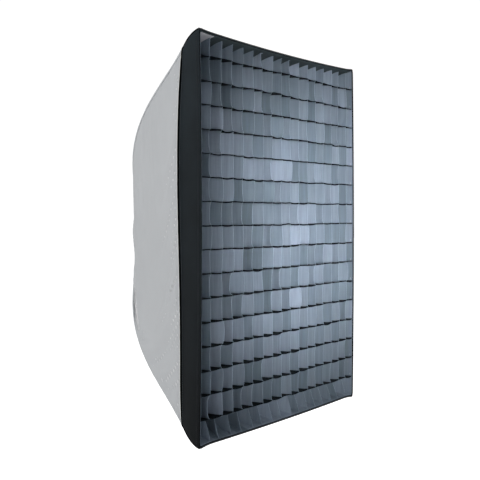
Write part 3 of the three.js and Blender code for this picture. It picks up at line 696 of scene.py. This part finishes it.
def collar_points(rows, columns):
    outer_x = SEAM_POINTS[3][1] * CORNER_X + 0.6 * MM
    outer_z = SEAM_POINTS[3][1] * CORNER_Z + 0.6 * MM
    turns = np.linspace(0, 2 * math.pi, columns, endpoint=False)
    share, angle = np.meshgrid(np.linspace(0, 1, rows), turns, indexing="ij")
    c, s = np.cos(angle), np.sin(angle)
    power = COLLAR_SQUARENESS
    edge = (np.abs(c / outer_x) ** power + np.abs(s / outer_z) ** power) ** (-1 / power)
    neck = NECK_RADIUS + 1.4 * MM
    radius = neck + share * (edge - neck)
    depth = COLLAR_NECK_DEPTH - COLLAR_DISH * share ** 3
    ruffle = np.sin(GATHERS * angle + 1.3 * np.sin(3 * angle)) * (1 - share) ** 1.5 * GATHER_HEIGHT
    puff = np.sin(math.pi * share ** 0.8) * COLLAR_PUFF
    return np.stack([radius * c, FRONT_Y + depth + ruffle + puff, radius * s], -1)


columns = 6 * GATHERS
points = collar_points(22, columns)
lining = points - [0, FABRIC, 0]
flat_places = np.concatenate([points.reshape(-1, 3), lining.reshape(-1, 3)])[:, [0, 2]]
collar = cloth_ring("rear_collar_cloth", points, lining, ["shell", "silver"], flat_places,
                    [1] * columns, [0] * columns)
finish_piece(collar, "box", "shell_fabric", "rear_collar")

angles = np.linspace(0, 2 * math.pi, 200)
hem_radius = NECK_RADIUS + 2.0 * MM + 0.5 * MM * np.sin(GATHERS * angles)
hem_y = np.full(200, FRONT_Y + COLLAR_NECK_DEPTH + 0.8 * MM)
hem_path = np.stack([hem_radius * np.cos(angles), hem_y, hem_radius * np.sin(angles)], -1)
elastic_hem = tube("collar_elastic_hem", hem_path, 1.7 * MM, "shell_seam", 10, wobble=0.2)
finish_piece(elastic_hem, "box", "shell_fabric")

# ---- lip -------------------------------------------------------------------------------------

LIP_HEM_DEPTH = 58 * MM
FOLD_RADIUS = 1.3 * MM
LIP_RIPPLE = 1.8 * MM
LIP_STITCH_DEPTHS = (7 * MM, 10 * MM)


def lip_points(side, columns=120):
    """The lip goes forward outside, rolls over its front edge and comes back inside as a hem."""
    t = np.linspace(-1, 1, columns)
    rings = []
    for share in np.linspace(0, 1, 12):
        depth = (scallop_depth(t) + 1.5 * MM) * (1 - share) + FOLD_RADIUS * share
        ripple = np.array([noise.noise(Vector((k * 9.0, share * 2.2, side["across"] * 9))) for k in t])
        inset = 0.5 * MM * (1 - share) + LIP_RIPPLE * ripple * share * (1 - share)
        rings.append(lip_surface(side, depth, t, inset=inset))
    for angle in np.linspace(0, math.pi, 7)[1:]:
        depth = FOLD_RADIUS * (1 - math.sin(angle))
        rings.append(lip_surface(side, np.full_like(t, depth), t, inset=FOLD_RADIUS * (1 - math.cos(angle))))
    for share in np.linspace(0, 1, 7)[1:]:
        depth = FOLD_RADIUS + share * (LIP_HEM_DEPTH - FOLD_RADIUS)
        rings.append(lip_surface(side, np.full_like(t, depth), t, inset=2 * FOLD_RADIUS - 1.0 * MM * share))
    return np.array(rings)


for side_name, side in SIDES.items():
    points = lip_points(side)
    lip = cloth_sheet("lip_cloth_" + side_name, points, 0.5 * MM, "lip", "lip", towards_axis,
                      (LIP_DEPTH + LIP_HEM_DEPTH, 2 * side["length"] * DIAGONAL))
    finish_piece(lip, "box", "lip_fabric", "lip_" + side_name)
    t = np.linspace(-0.985, 0.985, 160)
    for number, depth in enumerate(LIP_STITCH_DEPTHS):
        line = lip_surface(side, np.full_like(t, depth), t, inset=-0.1 * MM)
        thread = stitches(f"lip_stitching_{side_name}_{number + 1}", line, -towards_axis(line), "dark_thread",
                          pitch=4.5 * MM)
        finish_piece(thread, "box", "lip_fabric")
    line = lip_surface(side, scallop_depth(t) - 7.5 * MM, t, inset=0.2 * MM)
    thread = stitches(f"lip_seam_stitching_{side_name}", line, -towards_axis(line), "seam_thread",
                      pitch=4 * MM, radius=0.5 * MM)
    finish_piece(thread, "box", "lip_fabric")

for side_name, side in SIDES.items():
    t = np.linspace(-1, 1, 90)
    for place, depth, inset, radius in (
            ("rear", scallop_depth(t) - 2.4 * MM, -0.2 * MM, 2.4 * MM),
            ("front", np.full_like(t, 1.2 * MM), 2.2 * MM, 1.3 * MM)):
        path = lip_surface(side, depth, t, inset=inset)
        # The front bead thickens the lip's fold; on the left and right lips it is black, which paints the
        # shadow line that the fold casts.
        material = "slate_binding" if place == "front" and side_name in ("top", "bottom") else "lip_seam"
        binding = tube(f"lip_{place}_binding_{side_name}", path, radius, material, 8, wobble=0.12)
        finish_piece(binding, "box", "lip_fabric")

for corner, (x, z) in CORNERS.items():
    side = SIDES["left" if x < 0 else "right"]
    depths = np.linspace(1.5 * MM, LIP_DEPTH + 1 * MM, 24)
    path = lip_surface(side, depths, np.full_like(depths, z), inset=0.6 * MM)
    binding = tube("lip_binding_" + corner, path, 1.9 * MM, "lip_seam", 10, up=(0, 0, 1), wobble=0.15)
    finish_piece(binding, "box", "lip_fabric")

# ---- loop band -------------------------------------------------------------------------------


# The lip's sides in order round the box, each with the way that its shares run.
ROUND_THE_LIP = (("bottom", 1), ("right", 1), ("top", -1), ("left", -1))


def band_sheet(name, from_depth, to_depth, inset, thickness, materials, faced, ripple=0.0):
    """A strip of cloth all round the inside of the lip, as one closed ring. faced gives the material
    of each side's inner face, as bottom, right, top and left."""
    loops = []
    down = np.linspace(from_depth, to_depth, 8)
    for side_name, direction in ROUND_THE_LIP:
        t = np.linspace(-1, 1, 110, endpoint=False) * direction
        depth, along = np.meshgrid(down, t, indexing="ij")
        points = lip_surface(SIDES[side_name], depth, along, inset=inset)
        if ripple:
            shift = np.array([[noise.noise(Vector(p) * 22.0) for p in row] for row in points])
            points = points + towards_axis(points) * ((shift[..., None] + 0.6) * ripple)
        loops.append(points)
    ring = np.concatenate(loops, axis=1)
    rows, columns = ring.shape[:2]
    normals = grid_normals(np.concatenate([ring[:, -1:], ring, ring[:, :1]], axis=1))[:, 1:-1]
    flip = np.sign((normals * towards_axis(ring)).sum(-1).mean())
    kinds = [faced[j * 4 // columns] for j in range(columns)]
    uv = uv_grid(np.linspace(0, to_depth - from_depth, rows), run_lengths(ring[0]))
    obj = cloth_ring(name, ring, ring + normals * flip * thickness, materials, np.concatenate([uv, uv]),
                     kinds, kinds)
    return obj, ring_area(ring)


BAND_FRONT, BAND_REAR = 9 * MM, 69 * MM
loop_band, band_area = band_sheet(
    "loop_band_tape", BAND_FRONT, BAND_REAR, 3.1 * MM, 0.8 * MM, ["lip", "tape"], (1, 1, 1, 1))
finish_piece(loop_band, "box", "hook_and_loop", "loop_band")

# ---- grid ------------------------------------------------------------------------------------

BORDER_INSET = 4.4 * MM
# The top side's inner face takes the dark cloth, which paints the shade falling there; the other three sides
# are slate.
border, border_area = band_sheet(
    "grid_border_cloth", GRID_FRONT, GRID_REAR, BORDER_INSET, 0.9 * MM,
    ["tape", "grid", "border"], (1, 1, 2, 1), ripple=0.5 * MM)
finish_piece(border, "grid", "lip_fabric", "grid_border")

# A pale sheet lies inside the border in its upper left corner: a painted highlight for the light caught by a
# fold of the border there.
patch_depths = np.linspace(GRID_FRONT + 1 * MM, GRID_REAR - 6 * MM, 6)
depth, share = np.meshgrid(patch_depths, np.linspace(-0.99, -0.86, 12), indexing="ij")
points = lip_surface(SIDES["top"], depth, share, inset=BORDER_INSET + 2.4 * MM)
patch = cloth_sheet("grid_patch", points, 0.6 * MM, "patch", "patch", towards_axis, (0.05, 0.04))
finish_piece(patch, "grid", "lip_fabric")

STRIP = 0.6 * MM
LEVEL_STRIP = 0.8 * MM
LEVEL_HEM = 2.6 * MM
LEVEL_LEAN = 0.12
TOP_GAP = 7 * MM
NOTCH = 20 * MM
CELL_PLACES = (0.0, 0.035, 0.1, 0.25, 0.5, 0.75, 0.9, 0.965)
column_x = [(i / COLUMNS - 0.5) * 2 * HALF_W for i in range(COLUMNS + 1)]
row_z = [(i / ROWS - 0.5) * 2 * HALF_H for i in range(ROWS + 1)]
strip_front, strip_rear = GRID_FRONT + 0.5 * MM, GRID_REAR - 0.5 * MM
grid_depths = [strip_front + (strip_rear - strip_front) * share for share in (0, 0.06, 0.25, 0.5, 0.75, 1)]
HALF_DEPTH = (GRID_REAR - GRID_FRONT) / 2

# Where each crossing of the front edges has settled, as (sideways, down) shifts.
crossing = {
    (i, j): (rng.gauss(0, 0.9) * MM, -abs(rng.gauss(0, 0.9)) * MM)
    for i in range(COLUMNS + 1) for j in range(ROWS + 1)
}


def inner_limits(depth, x=0.0, z=0.0):
    """Half width at height z and half height at x, just inside the grid's border."""
    diagonal = float(lip_diagonal(depth))
    half_w, half_h = CORNER_X * diagonal, CORNER_Z * diagonal
    inset = BORDER_INSET + 1.0 * MM
    hang = float(bulge(np.clip(x / half_w, -1, 1)))
    wide = half_w - inset - float(lip_sag(SIDES["left"], depth)) * float(bulge(np.clip(z / half_h, -1, 1)))
    high = half_h - inset - float(lip_sag(SIDES["top"], depth)) * hang
    low = half_h - inset - float(lip_sag(SIDES["bottom"], depth)) * hang
    return wide, high, low


def grid_depth(depth, x, z):
    """The grid's front stands forward everywhere but in its corners."""
    return bowed(depth, 1 - min(1, (x / HALF_W) ** 2) * min(1, (z / HALF_H) ** 2))


def settle(t):
    """Runs from 0 at a crossing quickly up to 1, and back to 0 at the next one."""
    return 1 - abs(2 * t - 1) ** 5


def smooth_step(t):
    return t * t * (3 - 2 * t)


def build_strips(name, strips, thickness, materials):
    """Joins many thin closed strips into one piece. thickness goes from front to rear."""
    vertices, faces, kinds, uvs = [], [], [], []
    half = np.asarray(thickness)[:, None, None] / 2
    for points in strips:
        rows, columns = points.shape[:2]
        count, base = rows * columns, len(vertices)
        offset = grid_normals(points) * half
        skin = grid_faces(rows, columns)
        strip_faces = [f[::-1] for f in skin] + [tuple(count + i for i in f) for f in skin]
        strip_faces += [(a, b, count + b, count + a) for a, b in grid_rim(rows, columns)]
        faces += [tuple(base + i for i in face) for face in strip_faces]
        kinds += [0] * (2 * len(skin)) + [1] * (columns - 1) + [0] * (columns + 2 * rows - 3)
        uv = uv_grid(np.linspace(0, 2 * HALF_DEPTH, rows), run_lengths(points[0]))
        uvs += list(uv + [rng.random(), rng.random()]) * 2
        vertices += list((points + offset).reshape(-1, 3)) + list((points - offset).reshape(-1, 3))
    area = sum(surface_area(points) for points in strips)
    return solid_object(name, vertices, faces, materials, uvs, kinds), area


def cell_places(lines):
    """Places along a strip, with the cell and the share of that cell that each lies at."""
    places = [(a + (b - a) * t, k, t) for k, (a, b) in enumerate(zip(lines, lines[1:])) for t in CELL_PLACES]
    return places + [(lines[-1], len(lines) - 2, 1.0)]


def upright_strip(i):
    """One upright strip. In each cell it stands at its own small angle, folded at the crossings."""
    yaw = [rng.gauss(0, 0.13) for _ in range(ROWS)]
    bow = [rng.gauss(0, 0.7) * MM for _ in range(ROWS)]
    curl = [rng.gauss(-2.2, 1.2) * MM for _ in range(ROWS)]
    crease = [rng.choice((-1, 1)) * max(0.0, rng.gauss(-0.3, 1.0)) * MM for _ in range(ROWS)]
    lines = []
    for depth in grid_depths:
        ahead = 1 - (depth - GRID_FRONT) / HALF_DEPTH
        _, high, low = inner_limits(depth, x=column_x[i])
        high -= TOP_GAP * min(1, 2 * (1 + ahead))
        line = []
        for z, j, t in cell_places(row_z):
            start, end = crossing[i, j][0], crossing[i, j + 1][0]
            x = column_x[i] + (start + (end - start) * smooth_step(t)) * (0.6 + 0.4 * ahead)
            x += (yaw[j] * ahead * HALF_DEPTH + curl[j] * ahead ** 2) * settle(t)
            x += bow[j] * math.sin(math.pi * t) + crease[j] * abs(ahead - (2 * t - 1)) * settle(t)
            z = max(-low, min(high, z))
            back = NOTCH * t * (1 + ahead) / 2 if j == 0 else 0
            line.append((x, FRONT_Y + grid_depth(depth, x, z) + back, z))
        lines.append(line)
    return np.array(lines)


def level_strip(j):
    """One level strip. It hangs in a shallow sag from crossing to crossing, and its front edge leans
    towards the grid's middle."""
    sag = [abs(rng.gauss(0, 1.1)) * MM for _ in range(COLUMNS)]
    tilt = [rng.gauss(0, 0.03) for _ in range(COLUMNS)]
    lean = -LEVEL_LEAN * row_z[j] / HALF_H
    lines = []
    for depth in grid_depths:
        ahead = 1 - (depth - GRID_FRONT) / HALF_DEPTH
        wide = inner_limits(depth, z=row_z[j])[0]
        line = []
        for x, i, t in cell_places(column_x):
            start, end = crossing[i, j][1], crossing[i + 1, j][1]
            drop = (start + (end - start) * smooth_step(t)) * (0.6 + 0.4 * ahead)
            drop += (lean + tilt[i] * settle(t)) * ahead * HALF_DEPTH - sag[i] * math.sin(math.pi * t)
            x = max(-wide, min(wide, x))
            line.append((x, FRONT_Y + grid_depth(depth, x, row_z[j]), row_z[j] + drop))
        lines.append(line)
    return np.array(lines)


# A tack on the border at each level strip's end.
for side_name in ("left", "right"):
    depth = GRID_FRONT + 5 * MM
    reach = (row_z[-1] - 4 * MM) / (CORNER_Z * lip_diagonal(depth)) - 0.5 / ROWS
    t = np.linspace(-1 + 0.5 / ROWS + 0.03, reach, 200)
    line = lip_surface(SIDES[side_name], np.full_like(t, depth), t, inset=BORDER_INSET + 1.9 * MM)
    tacks = stitches("grid_tacks_" + side_name, line, towards_axis(line), "tack",
                     pitch=2 * HALF_H / ROWS * 0.99, length=6 * MM, radius=0.5 * MM)
    finish_piece(tacks, "grid", "lip_fabric")

# The uprights' front edges take the lighter slate, a painted highlight.
uprights, upright_area = build_strips(
    "grid_upright_strips", [upright_strip(i) for i in range(1, COLUMNS)], [STRIP] * 6, ["grid", "grid_edge"])
finish_piece(uprights, "grid", "grid_fabric", "grid_lattice")
# The level strips take the near-black cloth, which paints the shade on them.
levels, level_area = build_strips(
    "grid_level_strips", [level_strip(j) for j in range(1, ROWS)],
    [LEVEL_HEM, LEVEL_HEM, LEVEL_STRIP, LEVEL_STRIP, LEVEL_STRIP, LEVEL_STRIP], ["grid_level", "grid_level"])
finish_piece(levels, "grid", "grid_fabric", "grid_lattice")

# ---- front diffuser --------------------------------------------------------------------------


def slow_noise(x, z, scale, level):
    """Noise over a sheet's points, in cells a scale-th of a metre wide."""
    places = np.stack([x * scale, z * scale, np.full_like(x, level)], -1)
    return np.array([[noise.noise(Vector(place)) for place in row] for row in places])


def panel_between(depth, inset, rows, columns, dish=0.0, ripple=0.0):
    """A flat sheet that fills the inside of the lip at one depth."""
    v, u = np.meshgrid(np.linspace(-1, 1, rows), np.linspace(-1, 1, columns), indexing="ij")
    diagonal = float(lip_diagonal(depth))
    x = u * (CORNER_X * diagonal - inset - lip_sag(SIDES["left"], depth) * bulge(v))
    z = v * (CORNER_Z * diagonal - inset - lip_sag(SIDES["top"], depth) * bulge(u))
    wave = slow_noise(x, z, 5, depth * 90)
    y = FRONT_Y + depth + dish * bulge(u) * bulge(v) + ripple * wave
    return np.stack([x, y, z], -1)


DIFFUSER_INSET = 7.0 * MM
sheet_points = panel_between(DIFFUSER + 1.0 * MM, DIFFUSER_INSET, 70, 50, dish=2.0 * MM, ripple=1.4 * MM)
diffuser = cloth_sheet("diffuser_cloth", sheet_points, 0.5 * MM, "white", "white", rearwards, (0.84, 0.56))
finish_piece(diffuser, "diffuser", "diffusion_fabric", "front_diffuser")


HEM_WIDTH = 20 * MM
HEM_THICKNESS = 2.2 * MM
# The hem's cross-section, as shares of its width inward and of its thickness rearward.
HEM_SHAPE = [(0, 0.25), (0, 0.9), (0.12, 1.15), (0.88, 1.15), (1, 0.9), (1, 0.25)]


def diffuser_hem():
    """The turned and padded edge of the diffuser, as one ring."""
    loops = []
    for side_name, direction in ROUND_THE_LIP:
        t = np.linspace(-1, 1, 90, endpoint=False) * direction
        depth = np.full_like(t, DIFFUSER + 1 * MM)
        rings = []
        for share, out in HEM_SHAPE:
            inset = DIFFUSER_INSET + 0.2 * MM + share * HEM_WIDTH
            point = lip_surface(SIDES[side_name], depth, t, inset=inset, radius=14 * MM)
            point[:, 1] = FRONT_Y + DIFFUSER + 0.4 * MM + out * HEM_THICKNESS
            rings.append(point)
        loops.append(np.array(rings))
    ring = np.concatenate(loops, axis=1)
    rows, columns = ring.shape[:2]
    last = (rows - 1) * columns
    back = [(last + j, last + (j + 1) % columns, (j + 1) % columns, j) for j in range(columns)]
    vertices = ring.reshape(-1, 3)
    faces = grid_faces(rows, columns, closed=True) + back
    return solid_object("diffuser_hem", vertices, faces, ["hem"], vertices[:, [0, 2]])


finish_piece(diffuser_hem(), "diffuser", "diffusion_fabric")

# ---- inner baffle ----------------------------------------------------------------------------

BAFFLE_W = BAFFLE_HIGH[0] - BAFFLE_LOW[0]
BAFFLE_H = BAFFLE_HIGH[2] - BAFFLE_LOW[2]
BAFFLE_Y = (BAFFLE_LOW[1] + BAFFLE_HIGH[1]) / 2
v, u = np.meshgrid(np.linspace(-1, 1, 48), np.linspace(-1, 1, 36), indexing="ij")
pull = 12 * MM
x = u * (BAFFLE_W / 2 - pull * bulge(v))
z = v * (BAFFLE_H / 2 - pull * bulge(u))
baffle_points = np.stack([x, BAFFLE_Y + slow_noise(x, z, 7, 3.0) * 1.5 * MM, z], -1)
baffle = cloth_sheet("baffle_cloth", baffle_points, 0.6 * MM, "white", "white", rearwards,
                     (BAFFLE_H, BAFFLE_W))
finish_piece(baffle, "box", "diffusion_fabric", "inner_baffle")
edge = np.concatenate([
    baffle_points[0], baffle_points[1:, -1], baffle_points[-1, ::-1][1:], baffle_points[::-1, 0][1:]])
finish_piece(tube("baffle_hem", edge, 1.6 * MM, "hem", 8, flatten=0.6, wobble=0.1), "box", "diffusion_fabric")

# ---- rods and their sleeves ------------------------------------------------------------------


def rod_bend(steps):
    """Depth and distance from the axis along a rod's bend, inside the corner seam."""
    t = np.linspace(0.05, 0.92, steps)
    points = bezier(SEAM_POINTS, t)
    tangent = np.gradient(points, axis=0)
    tangent /= np.linalg.norm(tangent, axis=1, keepdims=True)
    return np.stack([points[:, 0] + tangent[:, 1] * ROD_INSET, points[:, 1] - tangent[:, 0] * ROD_INSET], 1)


REAR_WAY = (SEAM_POINTS[3] - SEAM_POINTS[2]) / np.linalg.norm(SEAM_POINTS[3] - SEAM_POINTS[2])


def catmull(points, steps):
    """A smooth path through points."""
    points = np.asarray(points, float)
    padded = np.concatenate([[2 * points[0] - points[1]], points, [2 * points[-1] - points[-2]]])
    result = []
    for a, b, c, d in zip(padded, padded[1:], padded[2:], padded[3:]):
        for t in np.linspace(0, 1, steps, endpoint=False):
            curve = (2 * a - 5 * b + 4 * c - d) * t * t + (3 * b - a - 3 * c + d) * t ** 3
            result.append(0.5 * (2 * b + (c - a) * t + curve))
    result.append(points[-1])
    return np.array(result)


def rod_path():
    bend = rod_bend(9)
    mouth = np.array(PIVOT) - REAR_WAY * SOCKET_LENGTH
    root = np.array(PIVOT) - REAR_WAY * 12 * MM
    return catmull([*bend, mouth, root], 8)


for corner in CORNERS:
    path = np.array([corner_point(corner, d, r) for d, r in rod_path()])
    rod = tube("rod_wire_" + corner, path, ROD_RADIUS, "spring_steel", 16)
    finish_piece(rod, "box", "spring_steel", "rod_" + corner)
    for part in ("front", "rear"):
        low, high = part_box(f"rod_sleeve_{part}_{corner}")
        inside = [p for p in path if low[1] + 2 * MM < p[1] < high[1] - 2 * MM]
        line = catmull(inside, 3)
        sleeve = tube(f"sleeve_cloth_{part}_{corner}", line, 4.6 * MM, "silver", 14, wobble=0.35)
        finish_piece(sleeve, "box", "shell_fabric", f"rod_sleeve_{part}_{corner}")

# ---- corner pockets --------------------------------------------------------------------------


def box_corner(low, high, x, z):
    """The corner of a box that lies towards x and z, at no depth."""
    return np.array([high[0] if x > 0 else low[0], 0.0, high[2] if z > 0 else low[2]])


def pocket_outline(low, high, x, z, depth_share, rows=14):
    """The pocket's three-cornered sheet, which starts at the box's corner and bellies over the rod's tip."""
    corner = box_corner(low, high, x, z)
    legs = (high[0] - low[0], high[2] - low[2])
    points = []
    for share in np.linspace(0.0, 1.0, rows):
        start = corner - np.array([x * legs[0] * share, 0, 0])
        end = corner - np.array([0, 0, z * legs[1] * share])
        line = []
        for t in np.linspace(0, 1, rows):
            point = start * (1 - t) + end * t
            belly = math.sin(math.pi * t) * share * (1.15 - share) * 5 * MM
            point[1] = low[1] + (high[1] - low[1]) * depth_share + belly
            line.append(point)
        points.append(line)
    return np.array(points)


for corner, (x, z) in CORNERS.items():
    low, high = (np.array(v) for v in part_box("corner_pocket_" + corner))
    points = pocket_outline(low, high, x, z, 0.2)
    points[0] += (points[1] - points[0]) * 0.2
    pocket = cloth_sheet("pocket_cloth_" + corner, points, 1.1 * MM, "lip", "lip", rearwards, (0.05, 0.06))
    finish_piece(pocket, "box", "lip_fabric", "corner_pocket_" + corner)
    line = points[-1] + [0, 0.5 * MM, 0]
    hem = tube("pocket_hem_" + corner, line, 1.5 * MM, "lip_seam", 8, flatten=0.7, wobble=0.1)
    finish_piece(hem, "box", "lip_fabric")
    line = points[-2]
    thread = stitches("pocket_stitching_" + corner, line, -rearwards(line), "dark_thread", pitch=4 * MM)
    finish_piece(thread, "box", "lip_fabric")

# ---- baffle straps ---------------------------------------------------------------------------


def webbing(name, start, end, width, thickness, material):
    """Flat elastic between two points, folded back on itself and bar-tacked near both ends."""
    start, end = np.array(start, float), np.array(end, float)
    ahead = (end - start) / np.linalg.norm(end - start)
    across = np.cross(ahead, [0, 1, 0])
    length = np.linalg.norm(end - start)
    fold = 16 * MM
    turn = 1.2 * thickness
    path = [start + ahead * fold + [0, turn, 0], start + ahead * turn + [0, turn, 0],
            start + [0, turn / 2, 0], start + ahead * turn]
    path += [start + ahead * length * t for t in np.linspace(0.15, 0.85, 16)]
    path += [end - ahead * turn, end + [0, turn / 2, 0], end - ahead * turn + [0, turn, 0],
             end - ahead * fold + [0, turn, 0]]
    spread = np.linspace(-0.5, 0.5, 9)
    narrowing = [1 - 0.03 * math.sin(i * 0.9) for i in range(len(path))]
    grid = np.array([[p + across * width * k * narrow for k in spread] for p, narrow in zip(path, narrowing)])
    obj = cloth_sheet(name, grid, thickness * 0.8, material, material, rearwards, (length, width))
    tacks = []
    for base, way in ((start, ahead), (end, -ahead)):
        for share in (0.45, 0.55, 0.8, 0.9):
            reach = across * width * 0.38
            tacks.append([base + way * fold * share + reach * k for k in np.linspace(-1, 1, 5)])
    return obj, grid, tacks


for corner, (x, z) in CORNERS.items():
    low, high = (np.array(v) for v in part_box("baffle_strap_" + corner))
    inner, outer = box_corner(low, high, -x, -z), box_corner(low, high, x, z)
    ahead = (outer - inner) / np.linalg.norm(outer - inner)
    inner, outer = inner + ahead * 6 * MM, outer - ahead * 6 * MM
    inner[1] = outer[1] = low[1]
    strap, strap_grid, tacks = webbing("strap_webbing_" + corner, inner, outer, 14 * MM, 1.3 * MM, "elastic")
    finish_piece(strap, "box", "elastic", "baffle_strap_" + corner)
    for number, tack in enumerate(tacks):
        line = np.array(tack) - [0, 0.3 * MM, 0]
        thread = stitches(f"strap_tack_{corner}_{number + 1}", line, -rearwards(line), "thread",
                          pitch=1.6 * MM, length=1.5 * MM, radius=0.3 * MM)
        finish_piece(thread, "box", "elastic")

# ---- speedring, insert and hardware ----------------------------------------------------------

ring_parts = {
    "retaining_ring": "black_metal", "speedring_body": "cast",
    "bayonet_insert": "steel", "lock_knob": "plastic",
}
for corner in CORNERS:
    ring_parts["rod_socket_" + corner] = "cast"
    ring_parts["socket_pin_" + corner] = "steel"
    ring_parts["rod_tip_" + corner] = "plastic"
    ring_parts["baffle_clip_" + corner] = "plastic"
for number in range(1, 5):
    ring_parts[f"retaining_screw_{number}"] = "steel"

EDGE_ROUND = 0.5 * MM
for node, material in ring_parts.items():
    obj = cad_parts[node]
    obj.data.materials.clear()
    obj.data.materials.append(MAT[material])
    rounding = obj.modifiers.new("rounded_edges", "BEVEL")
    rounding.width = EDGE_ROUND
    rounding.segments = 2
    rounding.limit_method = "ANGLE"
    rounding.angle_limit = math.radians(38)

# ---- camera, light and floor -----------------------------------------------------------------

CAMERA_YAW = math.radians(48.1)
CAMERA_PLACE = (-1.380, FRONT_Y - 1.087, 0.051)
CAMERA_LENS = 53.55
CAMERA_SHIFT = -0.054
KEY_POWER = 0.73
KEY_SPREAD = math.radians(24.2)
AMBIENT = 0.33
BACKDROP = 1.05

camera_data = bpy.data.cameras.new("camera")
camera_data.lens = CAMERA_LENS
camera_data.sensor_width = 36
camera_data.shift_y = CAMERA_SHIFT
camera = bpy.data.objects.new("camera", camera_data)
camera.location = CAMERA_PLACE
camera.rotation_euler = (math.pi / 2, 0, -CAMERA_YAW)
bpy.context.scene.collection.objects.link(camera)
bpy.context.scene.camera = camera


def area_light(name, location, target, size, power):
    data = bpy.data.lights.new(name, "AREA")
    data.shape = "RECTANGLE"
    data.size, data.size_y = size
    data.energy = power
    light = bpy.data.objects.new(name, data)
    light.location = location
    way = Vector(target) - Vector(location)
    light.rotation_euler = way.to_track_quat("-Z", "Y").to_euler()
    bpy.context.scene.collection.objects.link(light)
    return light


for name, height in (("key_light_upper", 0.19), ("key_light_lower", -0.14)):
    key_place, key_target = (-1.16, FRONT_Y - 1.24, height), (0.12, FRONT_Y, height)
    key = area_light(name, key_place, key_target, (0.15, 0.3), KEY_POWER)
    key.data.spread = KEY_SPREAD
area_light("side_light", (-2.6, 0.9, 0.7), (-0.2, -0.2, 0.0), (2.0, 2.4), 45)
area_light("top_light", (0.4, 0.6, 3.2), (0.0, 0.2, 0.0), (3.0, 3.0), 30)

world = bpy.data.worlds.new("studio")
world.use_nodes = True
sky = world.node_tree
ambient = sky.nodes["Background"]
ambient.inputs[0].default_value = (1, 1, 1, 1)
ambient.inputs[1].default_value = AMBIENT
backdrop = sky.nodes.new("ShaderNodeBackground")
backdrop.inputs[0].default_value = (1, 1, 1, 1)
backdrop.inputs[1].default_value = BACKDROP
which = sky.nodes.new("ShaderNodeMixShader")
sky.links.new(sky.nodes.new("ShaderNodeLightPath").outputs["Is Camera Ray"], which.inputs[0])
sky.links.new(ambient.outputs[0], which.inputs[1])
sky.links.new(backdrop.outputs[0], which.inputs[2])
sky.links.new(which.outputs[0], sky.nodes["World Output"].inputs[0])
bpy.context.scene.world = world
bpy.context.scene.view_settings.view_transform = "Standard"

floor_material = Nodes("studio_floor")
cloud = floor_material.noise(floor_material.place(), 2.0)
floor_material.set(Base_Color=floor_material.ramp(cloud, [(0.3, (0.9, 0.9, 0.9)), (0.7, (0.93, 0.93, 0.93))]))
seen = floor_material.add("LightPath").outputs["Is Camera Ray"]
glow = floor_material.math("MULTIPLY", seen, 0.8)
floor_material.set(Roughness=0.9, Specular_IOR_Level=0.1, Emission_Strength=glow)
floor_material.shader.inputs["Emission Color"].default_value = (1, 1, 1, 1)
bpy.ops.mesh.primitive_plane_add(size=40, location=(0, 0, -HALF_H - 0.35))
floor = bpy.context.object
floor.name = "floor"
floor.data.materials.append(floor_material.material)
